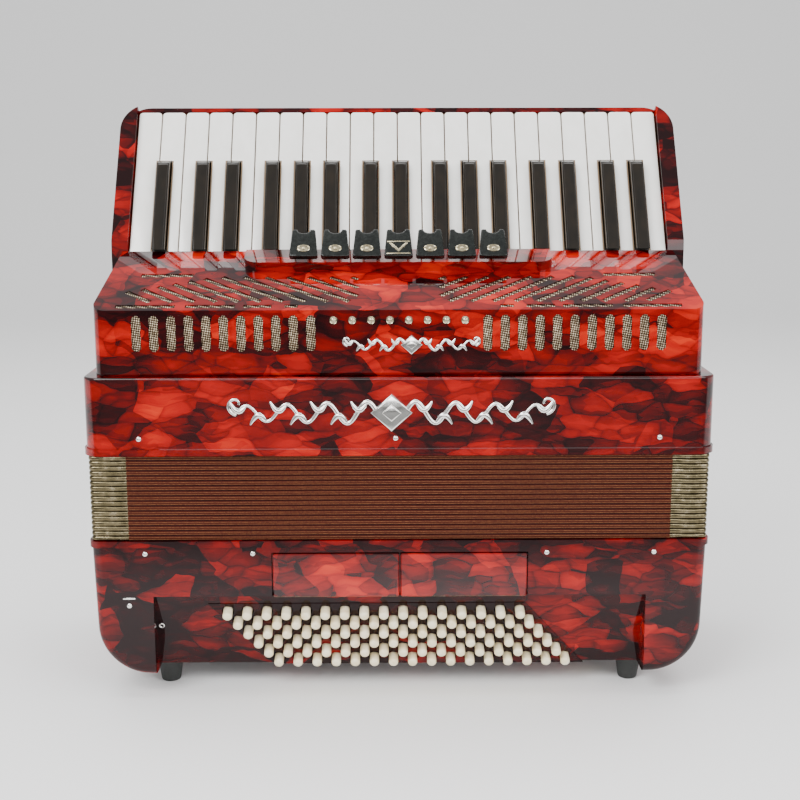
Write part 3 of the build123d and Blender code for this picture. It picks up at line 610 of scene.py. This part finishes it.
def on_front(x, z, out):
    """Points on the grille's upright front: y = front - out."""
    x, z, out = np.broadcast_arrays(x, z, out)
    return np.stack([x, grille_front - out, z], -1)


def on_slope(x, up, out):
    """Points on the grille's slope: y = front + up cos s - out sin s, z = bend + up sin s + out cos s."""
    x, up, out = np.broadcast_arrays(x, up, out)
    y = grille_front + up * cos(slope) - out * sin(slope)
    return np.stack([x, y, bend_up + up * sin(slope) + out * cos(slope)], -1)


def oblong(middle, length, width, angle=0.0):
    """A rectangle's outline, anticlockwise: its four corners turned by an angle about its middle."""
    local = np.array([(-length, -width), (length, -width), (length, width), (-length, width)]) / 2
    spin = np.array([[cos(angle), sin(angle)], [-sin(angle), cos(angle)]])
    return local @ spin + np.array(middle)


gauze, tree, shader, place = new_material("wire_gauze", roughness=0.32, metallic=1.0)
split = tree.nodes.new("ShaderNodeSeparateXYZ")
tree.links.new(mapped(tree, place, turn=(0.0, 0.6, 0.0)), split.inputs["Vector"])
wire_pitch = 0.0024
over = arithmetic(tree, "SINE", times(tree, split.outputs["X"], 2 * pi / wire_pitch))
under = arithmetic(tree, "SINE", times(tree, split.outputs["Z"], 2 * pi / wire_pitch))
weave = plus(tree, times(tree, times(tree, over, under), 0.5), 0.5)
tone = plus(tree, times(tree, weave, 0.55), times(tree, noise(tree, place, 420.0), 0.45))
paint(tree, shader, tone, [
    (0.3, (0.02, 0.013, 0.008)), (0.55, (0.12, 0.085, 0.05)), (0.8, (0.62, 0.53, 0.4)),
])
relief(tree, shader, weave, 0.0006, 0.9)

gauze_top, gauze_base, gauze_edge, gauze_over = -0.0004, -0.0022, 0.0006, 0.0001
front_gauze = []
slot_length, slot_width = 0.027, 0.007
slot_count, slot_first, slot_pitch, slot_drop = 11, 0.0655, 0.0129, 0.0038
slot_middle = bend_up - slot_drop - slot_length / 2
for number in range(slot_count):
    slot_x = slot_first + number * slot_pitch
    for side in (-1, 1):
        spot = (side * slot_x, slot_middle)
        outline = oblong(spot, slot_length + 2 * gauze_over, slot_width + 2 * gauze_over, pi / 2)
        front_gauze.append(capped(outline, gauze_base, gauze_top, gauze_edge, on_front, 2))
slope_gauze = []
slant_count, slant = 13, radians(38.0)
slant_width, slant_pitch, slant_first, slant_inner = 0.0045, 0.0165, 0.0124, 0.031
slant_low, slant_high, corner_x, corner_fall = 0.013, 0.051, 0.142, 0.36
bend_row_up, corner_row_up = 0.006, 0.054
slant_outlines = []
for number in range(slant_count):
    foot = slant_first - number * slant_pitch
    low_x = min(foot, -slant_inner)
    low_up = slant_low + (foot - low_x) * tan(slant)
    high_x, high_up = foot - (slant_high - slant_low) / tan(slant), slant_high
    if high_x < -corner_x:
        high_x = slant_low + foot * tan(slant) - slant_high - corner_x * corner_fall
        high_x /= tan(slant) + corner_fall
        high_up = slant_high + (high_x + corner_x) * corner_fall
    length = float(np.hypot(low_x - high_x, low_up - high_up))
    middle = ((low_x + high_x) / 2, (low_up + high_up) / 2)
    for side in (1, -1):
        slant_outlines.append(((side * middle[0], middle[1]), length, slant_width, -side * slant))
for slot_x, length in ((0.188, 0.044), (0.14, 0.037), (0.105, 0.021), (0.08, 0.01)):
    for side in (1, -1):
        slant_outlines.append(((side * slot_x, bend_row_up), length, slant_width, 0.0))
for side in (1, -1):
    slant_outlines.append(((side * 0.178, corner_row_up), 0.04, 0.005, 0.0))
for middle, length, width, angle in slant_outlines:
    outline = oblong(middle, length + 2 * gauze_over, width + 2 * gauze_over, angle)
    slope_gauze.append(capped(outline, gauze_base, gauze_top, gauze_edge, on_slope, 2))
for name, parts in (("front_gauze", front_gauze), ("slope_gauze", slope_gauze)):
    piece = make_piece(name, parts, gauze)
    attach(piece, "treble_section")

# ---- register tablets ----
# Seven moulded black tablets lean back over the platform, each with a hollowed top edge for the
# fingertip and a small oval metal rosette near its heel; the middle one has a gilt chevron instead.
chrome, tree, shader, place = new_material("chrome", roughness=0.1, metallic=1.0)
smear = noise(tree, place, 220.0, 4.0, 0.6)
paint(tree, shader, smear, [(0.3, (0.78, 0.77, 0.73)), (0.7, (0.9, 0.89, 0.86))])
tree.links.new(plus(tree, times(tree, smear, 0.16), 0.03), shader.inputs["Roughness"])

gilt, tree, shader, place = new_material("gilt_metal", roughness=0.25, metallic=1.0)
smear = noise(tree, place, 400.0, 4.0, 0.6)
paint(tree, shader, smear, [(0.3, (0.32, 0.27, 0.16)), (0.7, (0.62, 0.56, 0.4))])
relief(tree, shader, smear, 0.0001, 0.4)

tablet_black, tree, shader, place = new_material("tablet_black", roughness=0.28, coat=0.6, specular=0.1)
speck = noise(tree, place, 350.0, 4.0, 0.7)
paint(tree, shader, speck, [(0.3, (0.003, 0.004, 0.0035)), (0.75, (0.012, 0.015, 0.013))])
tree.links.new(plus(tree, times(tree, speck, 0.3), 0.12), shader.inputs["Roughness"])
relief(tree, shader, speck, 0.0001, 0.2)


def turned(profile, place_at, sides=24, stretch=1.0):
    """A profile of (radius, height) pairs, from its lower pole to its upper one, turned about an axis:
    (u, v, w) = (stretch radius cos a, radius sin a, height), which place_at turns into points."""
    radius, height = np.array(profile).T[:, :, None]
    theta = np.linspace(0, 2 * pi, sides, endpoint=False)
    points = place_at(radius * stretch * np.cos(theta), radius * np.sin(theta), height + 0 * theta)
    rows = len(profile) - 2
    first, last = 1, 1 + (rows - 1) * sides
    i = np.arange(sides)
    j = (i + 1) % sides
    faces = (grid_faces(rows, sides, round_columns=True) + first).tolist()
    faces += np.stack([0 * i, first + j, first + i], -1).tolist()
    faces += np.stack([last + i, last + j, 0 * i + last + sides], -1).tolist()
    return np.concatenate([points[0, :1], points[1:-1].reshape(-1, 3), points[-1, :1]]), faces


tablet_lean = radians(55.0)
tablet_thick, tablet_base, tablet_tip, tablet_long = 0.005, 0.022, 0.018, 0.024
tablet_edge, heel_corner, tip_corner = 0.0009, 0.0012, 0.001
notch_half, notch_deep, rosette_up = 0.0052, 0.0034, 0.0068
middle_tablet, tablet_count = 4, 7
oval = [
    (0.0, -0.0004), (0.0032, -0.0004), (0.0032, 0.0003), (0.0029, 0.0006),
    (0.0022, 0.0006), (0.0019, 0.0002), (0.0, 0.0002),
]
oval_boss = [(0.0, 0.0001), (0.0011, 0.0001), (0.0010, 0.0005), (0.0006, 0.0008), (0.0, 0.0009)]
chevron = [
    (-0.0075, 0.0045), (0.0, -0.0035), (0.0075, 0.0045),
    (0.0052, 0.0045), (0.0, -0.0011), (-0.0052, 0.0045),
]
for number in range(1, tablet_count + 1):
    name = f"register_switch_{number}"
    pin = next(j for j in frame["joints"] if j["name"] == name + "_hinge")["pos_m"]
    middle = (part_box(name)[0][0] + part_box(name)[1][0]) / 2
    heel_y = pin[1] + sin(tablet_lean) * tablet_thick / 2
    heel_z = pin[2] - cos(tablet_lean) * tablet_thick / 2

    def on_tablet(x, up, out):
        """Points on a tablet: across it, up from its heel, and out of its face."""
        x, up, out = np.broadcast_arrays(x, up, out)
        y = heel_y + up * cos(tablet_lean) - out * sin(tablet_lean)
        z = heel_z + up * sin(tablet_lean) + out * cos(tablet_lean)
        return np.stack([middle + x, y, z], -1)

    theta = np.linspace(0, pi, 9)
    notch = np.stack([notch_half * np.cos(theta), tablet_long - notch_deep * np.sin(theta)], -1)
    heel_x, tip_x = tablet_base / 2, tablet_tip / 2
    right_side = [(heel_x - heel_corner, 0.0), (heel_x, heel_corner)]
    right_side += [(tip_x, tablet_long - tip_corner), (tip_x - tip_corner, tablet_long)]
    left_side = [(-x, up) for x, up in right_side[::-1]]
    outline = np.array(left_side[-1:] + right_side + notch.tolist() + left_side[:-1])
    tablet = make_piece(
        f"register_tablet_{number}",
        [capped(outline, 0.0, tablet_thick, tablet_edge, on_tablet)], tablet_black, sharp=50.0,
    )
    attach(tablet, name)
    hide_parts(name)

    def at_rosette(x, up, out):
        """Points round the middle of the tablet's rosette."""
        return on_tablet(x, up + rosette_up, out + tablet_thick)

    if number == middle_tablet:
        parts = [
            capped(outline, -0.0004, top, 0.0002, at_rosette, 2) for outline, top in (
                (np.array(chevron), 0.0007),
                (oblong((0, -0.0048), 0.0185, 0.0008), 0.0005),
                (oblong((0, 0.0058), 0.0178, 0.0008), 0.0005),
            )
        ]
    else:
        parts = [turned(oval, at_rosette, 28, 1.55), turned(oval_boss, at_rosette, 16, 1.4)]
    rosette = make_piece(f"register_rosette_{number}", parts, gilt, sharp=40.0)
    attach(rosette, name)

# ---- bass buttons and their board ----
# Ninety-six turned buttons with domed caps stand out of a bored board, in six slanting rows; the two
# rows next to the bellows move together here, and the four chord rows below them move together.
board_angle = radians(20.0)
case_low, case_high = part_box("bass_case")
bead_proud, board_step, board_top = 0.0015, 0.004, 0.064
case_front = case_low[1] + bead_proud
board_y, board_z = case_front + board_step, case_low[2] + board_top


def on_board(x, up, out):
    """Points on the button board: y = top - up sin(b) - out cos(b), z = top + up cos(b) - out sin(b)."""
    x, up, out = np.broadcast_arrays(x, up, out)
    y = board_y - up * sin(board_angle) - out * cos(board_angle)
    z = board_z + up * cos(board_angle) - out * sin(board_angle)
    return np.stack([x, y, z], -1)


def moved(place_at, u0, v0):
    """The same surface with its own origin at (u0, v0)."""
    return lambda u, v, w: place_at(u + u0, v + v0, w)


ivory, tree, shader, place = new_material("button_ivory", roughness=0.2, coat=0.4)
age = noise(tree, place, 130.0, 4.0, 0.6)
paint(tree, shader, age, [(0.3, (0.82, 0.68, 0.4)), (0.55, (0.92, 0.82, 0.58)), (0.8, (0.96, 0.9, 0.72))])
relief(tree, shader, age, 0.0001, 0.15)
button_pitch, row_pitch, row_shift, first_drop, first_x = 0.015, 0.0094, 0.0075, 0.0155, -0.02
button_radius, button_tail, button_hidden, shoulder, crown = 0.0037, 0.0035, 0.008, 0.0072, 0.0018
row_count, column_count = 6, 16


def dome_over(radius, start, rise, steps):
    """Profile pairs over a dome up to its pole: (radius cos a, start + rise sin a)."""
    turn = np.linspace(0, pi / 2, steps)[1:]
    return [(radius * cos(a), start + rise * sin(a)) for a in turn[:-1]] + [(0.0, start + rise)]


def button_spot(row, column):
    """A button's place on the board, across and up: each row lies lower and further along."""
    x = first_x + row * row_shift + (column - (column_count - 1) / 2) * button_pitch
    return x, -(first_drop + row * row_pitch)


button = [(0.0, -button_hidden), (button_tail, -button_hidden)]
button += [(button_radius, 0.0), (button_radius, shoulder)] + dome_over(button_radius, shoulder, crown, 5)
for name, first, last in (("bass_note_buttons", 0, 2), ("bass_chord_buttons", 2, row_count)):
    parts = [
        turned(button, moved(on_board, *button_spot(row, column)), 18)
        for row in range(first, last) for column in range(column_count)
    ]
    piece = make_piece(name.replace("buttons", "button_caps"), parts, ivory, sharp=50.0)
    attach(piece, name)
    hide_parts(name)
# the board: round each hole a bore, a small countersink and a slanting cell that meets its neighbours
hole_radius, bore_deep, bore_top, board_out, sides = 0.0046, 0.006, 0.0002, 0.0005, 24
sink_x, sink_up = 0.0048951, 0.00468
theta = np.linspace(0, 2 * pi, sides, endpoint=False) + pi / 4
square = np.stack([np.cos(theta), np.sin(theta)], -1)
square /= np.abs(square).max(axis=1)[:, None]
shear = row_shift / row_pitch
cell_up = square[:, 1] * row_pitch / 2
cell_x = square[:, 0] * button_pitch / 2 - cell_up * shear
parts = []
for row in range(row_count):
    for column in range(column_count):
        on_cell = moved(on_board, *button_spot(row, column))
        parts.append((np.concatenate([
            on_cell(hole_radius * np.cos(theta), hole_radius * np.sin(theta), -bore_deep),
            on_cell(hole_radius * np.cos(theta), hole_radius * np.sin(theta), bore_top),
            on_cell(sink_x * np.cos(theta), sink_up * np.sin(theta), board_out),
            on_cell(cell_x, cell_up, board_out),
        ]), grid_faces(4, sides, round_columns=True)[:, ::-1]))
# the board's rim, which runs down into the case
rim, rim_deep = 0.0022, 0.001
across_half = column_count / 2 * button_pitch
top_up, low_up = -first_drop + row_pitch / 2, -first_drop - (row_count - 0.5) * row_pitch
rim_sides = np.array([(-1, -1), (1, -1), (1, 1), (-1, 1)])


def board_corners(grown):
    """The board's four corners, grown by this much: x = middle +- half - (up + first drop) shear."""
    up = np.where(rim_sides[:, 1] < 0, low_up - grown, top_up + grown)
    return first_x + rim_sides[:, 0] * (across_half + grown) - (up + first_drop) * shear, up


rim_steps = ((0.0, board_out), (rim, board_out), (rim, -rim_deep))
rim_points = np.concatenate([on_board(*board_corners(grown), out) for grown, out in rim_steps])
parts.append((rim_points, grid_faces(len(rim_steps), len(rim_sides), round_columns=True)[:, ::-1]))
# the board's sheet is a darker copy of the pearloid: painted shadow for the shade between and under the
# buttons
board = make_piece("button_board", parts, pearloid_sheet("shadowed_red_pearloid", 0.26, 0.5), sharp=30.0)
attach(board, "bass_section")

# ---- rosettes, pins and ornaments on the fronts ----
# Small turned metal parts are tapped into the wood: eight rosettes under the grille's bend, and domed
# pins that hold the cases to the bellows frames. Two cast chrome scroll ornaments are pinned on.
def on_case(x, z, out):
    """Points on the cases' upright front: y = front - out."""
    x, z, out = np.broadcast_arrays(x, z, out)
    return np.stack([x, case_front - out, z], -1)


def on_back(x, z, out):
    """Points on the cases' upright back, seen from behind, so that u runs towards -x: y = back + out."""
    x, z, out = np.broadcast_arrays(x, z, out)
    return np.stack([-x, case_back + out, z], -1)


case_back = case_high[1] - bead_proud
rosette_count, rosette_pitch, rosette_drop = 8, 0.0139, 0.0076
rosette_profile = [
    (0.0, -0.0006), (0.0031, -0.0006), (0.0031, 0.0004), (0.0027, 0.0009), (0.0021, 0.0006),
    (0.0016, 0.0006), (0.0012, 0.0011), (0.0006, 0.0014), (0.0, 0.0015),
]
rosettes = [
    turned(rosette_profile, moved(on_front, place_x * rosette_pitch, bend_up - rosette_drop), 20)
    for place_x in np.arange(rosette_count) - (rosette_count - 1) / 2
]
piece = make_piece("grille_rosettes", rosettes, gilt, sharp=60.0)
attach(piece, "treble_section")

pin_radius, pin_tail, pin_foot, pin_dome = 0.0021, 0.001, 0.0003, 0.0012
pin_profile = [(0.0, -pin_tail), (pin_radius, -pin_tail), (pin_radius, pin_foot)]
pin_profile += dome_over(pin_radius, pin_foot, pin_dome, 6)
for name, body, spots, height in (
    ("treble_pins", "treble_section", (-0.1944, -0.003, 0.1944), treble_rim + 0.013),
    ("bass_pins", "bass_section", (-0.193, -0.1115, 0.1115, 0.193), bass_rim - 0.010),
):
    parts = [turned(pin_profile, moved(side, x, height), 16) for side in (on_case, on_back) for x in spots]
    piece = make_piece(name, parts, chrome, sharp=60.0)
    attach(piece, body)


def tube(path, radius, place_at, flat=0.6, sides=10):
    """A rounded bar along a flat path of (u, v) points: each section is an oval across the path, of the
    radius given at that point and this much flatter outwards, and both ends close to a point."""
    path, radius = np.asarray(path, float), np.asarray(radius, float)
    along = np.gradient(path, axis=0)
    along /= np.linalg.norm(along, axis=1)[:, None]
    across = np.stack([-along[:, 1], along[:, 0]], -1)
    theta = np.linspace(0, 2 * pi, sides, endpoint=False)
    u = path[:, None, :] + radius[:, None, None] * np.cos(theta)[None, :, None] * across[:, None, :]
    out = radius[:, None] * flat * np.sin(theta)[None, :] + radius.max() * flat * 0.7
    points = place_at(u[..., 0], u[..., 1], out).reshape(-1, 3)
    rows = len(path)
    faces = grid_faces(rows, sides, round_columns=True).tolist()
    faces.append(list(range(sides))[::-1])
    faces.append([(rows - 1) * sides + i for i in range(sides)])
    return points, faces


def scrollwork(length, height, place_at, waves, bar):
    """A symmetrical ornament: from a lozenge in the middle, a wavy stem runs out each way and tapers,
    with a leaf on each wave and a curl at its end."""
    parts, rise = [], 0.30 * height
    t = np.linspace(0, 1, 60)
    for side in (-1, 1):
        u = side * length / 2 * (0.08 + 0.80 * t)
        v = rise * np.sin(2 * pi * waves * t) * (1 - 0.35 * t)
        parts.append(tube(np.stack([u, v], -1), bar * (1.0 - 0.45 * t), place_at))
        for wave in range(int(2 * waves)):
            t0 = (wave + 0.5) / (2 * waves)
            u0 = side * length / 2 * (0.08 + 0.80 * t0)
            up = 1 if wave % 2 == 0 else -1
            crest = up * rise * (1 - 0.35 * t0)
            s = np.linspace(0, 1, 16)
            leaf_u = u0 + side * height * (0.42 * s)
            leaf_v = crest * (1 - s) ** 2 + up * rise * (s - 0.5 * np.sin(pi * s))
            parts.append(tube(np.stack([leaf_u, leaf_v], -1), bar * (0.35 + 0.9 * np.sin(pi * s)), place_at))
        s = np.linspace(0, 1, 30)
        reach = height * 0.26 * (1 - 0.75 * s)
        curl_u = side * (length * 0.44 + reach * np.cos(1.5 * pi * s - pi / 2))
        curl_v = height * 0.02 + reach * np.sin(1.5 * pi * s - pi / 2) + height * 0.2
        parts.append(tube(np.stack([curl_u, curl_v], -1), bar * (0.75 - 0.3 * s), place_at))
    lozenge = np.array([(-0.55, 0.0), (0.0, -0.5), (0.55, 0.0), (0.0, 0.5)]) * height
    parts.append(capped(lozenge, -0.0003, bar * 1.3, bar * 0.9, place_at, 3))
    parts.append(capped(lozenge * 0.45, bar * 0.9, bar * 1.9, bar * 0.5, place_at, 3))
    return parts


for name, long, tall, spot, waves, bar in (
    ("case_ornament", 0.262, 0.029, moved(on_case, -0.006, treble_rim + 0.0325), 3.5, 0.0018),
    ("grille_ornament", 0.108, 0.015, moved(on_front, 0.009, bend_up - 0.026), 2.5, 0.0012),
):
    piece = make_piece(name, scrollwork(long, tall, spot, waves, bar), chrome, sharp=50.0)
    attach(piece, "treble_section")

# ---- reed blocks and key rod ----
# Inside the cases: two planed spruce blocks that would carry the reeds, with the grain running along
# them, and the drawn steel rod that all the keys turn on.
spruce, tree, shader, place = new_material("reed_block_spruce", roughness=0.55)
grain = noise(tree, mapped(tree, place, (3.0, 60.0, 60.0)), 12.0, 4.0, 0.6, 0.5)
paint(tree, shader, grain, [
    (0.3, (0.34, 0.2, 0.09)), (0.55, (0.56, 0.38, 0.2)), (0.75, (0.66, 0.48, 0.28)),
])
relief(tree, shader, grain, 0.0001, 0.3)
rod_steel, tree, shader, place = new_material("drawn_steel", roughness=0.3, metallic=1.0)
drawn = noise(tree, mapped(tree, place, (4.0, 300.0, 300.0)), 10.0, 3.0, 0.6)
paint(tree, shader, drawn, [(0.3, (0.34, 0.34, 0.33)), (0.7, (0.55, 0.55, 0.54))])
relief(tree, shader, drawn, 0.00003, 0.3)
for name, surface in (("bass_reed_block", spruce), ("treble_reed_block", spruce), ("key_axle", rod_steel)):
    cover(name, surface)

# ---- feet ----
# Four moulded rubber feet, tapering down to a rounded tread with a shallow hollow under it; each is
# held by a screw through its middle.
rubber, tree, shader, place = new_material("black_rubber", roughness=0.6)
pores = noise(tree, place, 900.0, 3.0, 0.6)
paint(tree, shader, pores, [(0.3, (0.008, 0.009, 0.008)), (0.8, (0.03, 0.032, 0.03))])
relief(tree, shader, pores, 0.0002, 0.4)
foot_low, foot_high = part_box("bass_feet")
foot_radius, foot_tall = 0.0105, foot_high[2] + 0.0001
foot_profile = [
    (0.0, 0.0012), (0.0030, 0.0012), (0.0042, 0.0), (0.0064, 0.0), (0.0073, 0.0005), (0.0077, 0.0016),
    (0.0098, 0.0152), (0.0104, 0.0162), (foot_radius, foot_tall), (0.0, foot_tall),
]


def on_level(x, y, z):
    """Points straight from their coordinates."""
    return np.stack(np.broadcast_arrays(x, y, z), -1)


feet = [
    turned(foot_profile, moved(on_level, x, y), 32)
    for x in (foot_low[0] + foot_radius, foot_high[0] - foot_radius)
    for y in (foot_low[1] + foot_radius, foot_high[1] - foot_radius)
]
feet = make_piece("rubber_feet", feet, rubber, sharp=50.0)
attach(feet, "bass_section")
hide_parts("bass_feet")

# ---- bass hand strap ----
# A black leather band under the bass case, for the back of the player's hand: skived edges, a sewn
# line along each side, and a chromed plate with two screws over each end.
strap_low, strap_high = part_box("bass_strap")
leather, tree, shader, place = new_material("strap_leather", roughness=0.5)
cells = tree.nodes.new("ShaderNodeTexVoronoi")
cells.inputs["Scale"].default_value = 700.0
tree.links.new(place, cells.inputs["Vector"])
crease = plus(tree, cells.outputs["Distance"], times(tree, noise(tree, place, 90.0), 0.5))
paint(tree, shader, crease, [(0.2, (0.012, 0.009, 0.008)), (0.9, (0.04, 0.03, 0.026))])
relief(tree, shader, crease, 0.0003, 0.5)
strap_thick = 0.004
strap_top, strap_bottom = strap_high[2] - strap_thick / 2, strap_low[2] + strap_thick / 2
end_x, tab, ramp_run = strap_high[0], 0.022, 0.030
# along the band: flat end tabs, ramps down of a smoothstep's shape, and a level middle
x = np.concatenate([np.linspace(0, tab, 4), tab + np.linspace(0, ramp_run, 14)[1:]]) - end_x
x = np.concatenate([x, np.linspace(x[-1], -x[-1], 30)[1:-1], -x[::-1]])
t = np.clip((end_x - tab - np.abs(x)) / ramp_run, 0, 1)
middle_z = strap_top + (strap_bottom - strap_top) * t * t * (3 - 2 * t)
strap_middle_y, strap_half = (strap_low[1] + strap_high[1]) / 2, (strap_high[1] - strap_low[1]) / 2
profile = [(-1.0, -0.25), (-0.97, -0.42), (-0.9, -0.5), (0.9, -0.5), (0.97, -0.42), (1.0, -0.25)]
across, through = np.array(profile + [(a, -b) for a, b in profile[::-1]]).T
points = on_level(
    x[:, None], strap_middle_y + strap_half * across, middle_z[:, None] + strap_thick * 0.98 * through,
)
rows, columns = len(x), len(across)
faces = grid_faces(rows, columns, round_columns=True).tolist()
faces.append(list(range(columns))[::-1])
faces.append([(rows - 1) * columns + i for i in range(columns)])
band = make_piece("leather_strap", [(points.reshape(-1, 3), faces)], leather, sharp=40.0)
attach(band, "bass_section")
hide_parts("bass_strap")
sewing, tree, shader, place = new_material("waxed_thread", roughness=0.6)
twist = noise(tree, place, 1500.0)
paint(tree, shader, twist, [(0.3, (0.2, 0.17, 0.13)), (0.7, (0.42, 0.37, 0.3))])
relief(tree, shader, twist, 0.0001, 0.5)
seam_half, stitch_pitch, stitch_half, seam_in = 0.150, 0.005, 0.0017, 0.004
thread = 0.00035 * np.array([0.5, 1, 1, 1, 0.5])


def under_strap(u, v, w):
    """Points on the band's underside, with w measured downwards."""
    return on_level(u, v, strap_low[2] + 0.0001 - w)


parts = []
for side in (-1, 1):
    for stitch in np.arange(-seam_half, seam_half + 0.0001, stitch_pitch):
        path_x = stitch + np.linspace(-stitch_half, stitch_half, len(thread))
        path = np.stack([path_x, strap_middle_y + side * (strap_half - seam_in) + 0 * path_x], -1)
        points, faces = tube(path, thread, under_strap, 0.6, 6)
        # the underside is a mirrored surface, so the faces are turned round
        parts.append((points, [face[::-1] for face in faces]))
stitches = make_piece("strap_stitches", parts, sewing)
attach(stitches, "bass_section")
plate_in, plate_long, plate_wide, screw_apart = 0.011, 0.014, 0.040, 0.013
plate_screw = [(0.0, 0.0), (0.0028, 0.0), (0.0026, 0.0012), (0.0015, 0.0017), (0.0, 0.0019)]


def under_tab(u, v, w):
    """Points under the strap's end tabs, seen from below, with u towards -x and w downwards."""
    return on_level(-u, v, strap_top - strap_thick / 2 - w)


plates = []
for plate_u in (end_x - plate_in, plate_in - end_x):
    outline = oblong((plate_u, strap_middle_y), plate_long, plate_wide)
    plates.append(capped(outline, -0.0004, 0.0008, 0.0004, under_tab, 2))
    for dy in (-screw_apart, screw_apart):
        plates.append(turned(plate_screw, moved(under_tab, plate_u, strap_middle_y + dy), 14))
plates = make_piece("strap_plates", plates, chrome, sharp=50.0)
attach(plates, "bass_section")

# ---- air button ----
# The thumb's air valve button under the bass case: a turned ivory-coloured cap in a chromed ring.
air_low, air_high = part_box("air_button")
air_x, air_y = (air_low[0] + air_high[0]) / 2, (air_low[1] + air_high[1]) / 2
air_radius = (air_high[0] - air_low[0]) / 2


def under_button(u, v, w):
    """Points about the air button's axis, with w measured downwards from its upper end."""
    return on_level(air_x - u, air_y + v, air_high[2] - w)


air_long = air_high[2] - air_low[2]
air_profile = [
    (0.0, 0.0), (air_radius - 0.0001, 0.0), (air_radius - 0.0001, air_long - 0.0018),
    (air_radius - 0.0006, air_long - 0.0006), (air_radius - 0.0018, air_long),
    (air_radius * 0.5, air_long - 0.0006), (0.0, air_long - 0.0009),
]
cap = make_piece("air_button_cap", [turned(air_profile, under_button, 32)], ivory, sharp=50.0)
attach(cap, "air_button")
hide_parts("air_button")


def under_body(u, v, w):
    """Points about the air button's axis, with w measured downwards from the case's underside."""
    return on_level(air_x - u, air_y + v, case_low[2] - w)


def ring_about(profile, place_at, sides):
    """A closed profile of (radius, height) pairs carried round an axis:
    (u, v, w) = (radius cos a, radius sin a, height), which place_at turns into points."""
    radius, height = np.array(profile).T[:, :, None]
    theta = np.linspace(0, 2 * pi, sides, endpoint=False)
    points = place_at(radius * np.cos(theta), radius * np.sin(theta), height + 0 * theta)
    return points.reshape(-1, 3), grid_faces(len(profile), sides, round_columns=True, round_rows=True)


bore = air_radius + 0.0006
bush = [
    (bore, -0.002), (bore + 0.0032, -0.002), (bore + 0.0032, 0.0004),
    (bore + 0.0022, 0.0011), (bore + 0.0006, 0.0011), (bore, 0.0006),
]
collar = make_piece("air_button_ring", [ring_about(bush, under_body, 32)], chrome, sharp=50.0)
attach(collar, "bass_section")

# ---- shoulder-strap brackets and the small metal on the bass case ----
# Chromed brackets are screwed to the treble case's back. A short guard plate with a pin below it sits on
# the bass case's left front, and an eyelet in the button board beside the rows.
cover("strap_brackets", chrome)
bracket_plate, bracket_x, screw_apart = 0.002, 0.196, 0.0085
screw = [(0.0, 0.0), (0.0024, 0.0), (0.0024, 0.0004), (0.0019, 0.0011), (0.0008, 0.0014), (0.0, 0.0014)]


def on_bracket(u, v, w):
    """Points on the brackets' plates, which lie on the treble case's back."""
    return on_back(u, v, w + bracket_plate)


screws = [
    turned(screw, moved(on_bracket, -x, treble_rim + up + dz), 16)
    for x, up in ((-bracket_x, 0.03), (bracket_x, 0.03), (bracket_x, 0.13))
    for dz in (-screw_apart, screw_apart)
]
screws = make_piece("bracket_screws", screws, chrome, sharp=50.0)
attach(screws, "treble_section")

guard_x, guard_z, guard_long, guard_wide, pin_below = -0.2063, bass_rim - 0.0453, 0.0095, 0.0014, 0.0057
eyelet_x, eyelet_up = -0.185, -0.030
eyelet = [
    (0.0012, -0.0006), (0.0024, -0.0006), (0.0024, 0.0003),
    (0.0020, 0.0006), (0.0015, 0.0005), (0.0012, 0.0),
]
trim = [
    capped(oblong((guard_x, guard_z), guard_long, guard_wide), -0.0005, 0.0008, 0.0004, on_case, 3),
    turned(pin_profile, moved(on_case, guard_x, guard_z - pin_below), 16),
    ring_about(eyelet, moved(on_board, eyelet_x, eyelet_up), 20),
]
trim = make_piece("bass_trim", trim, chrome, sharp=50.0)
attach(trim, "bass_section")
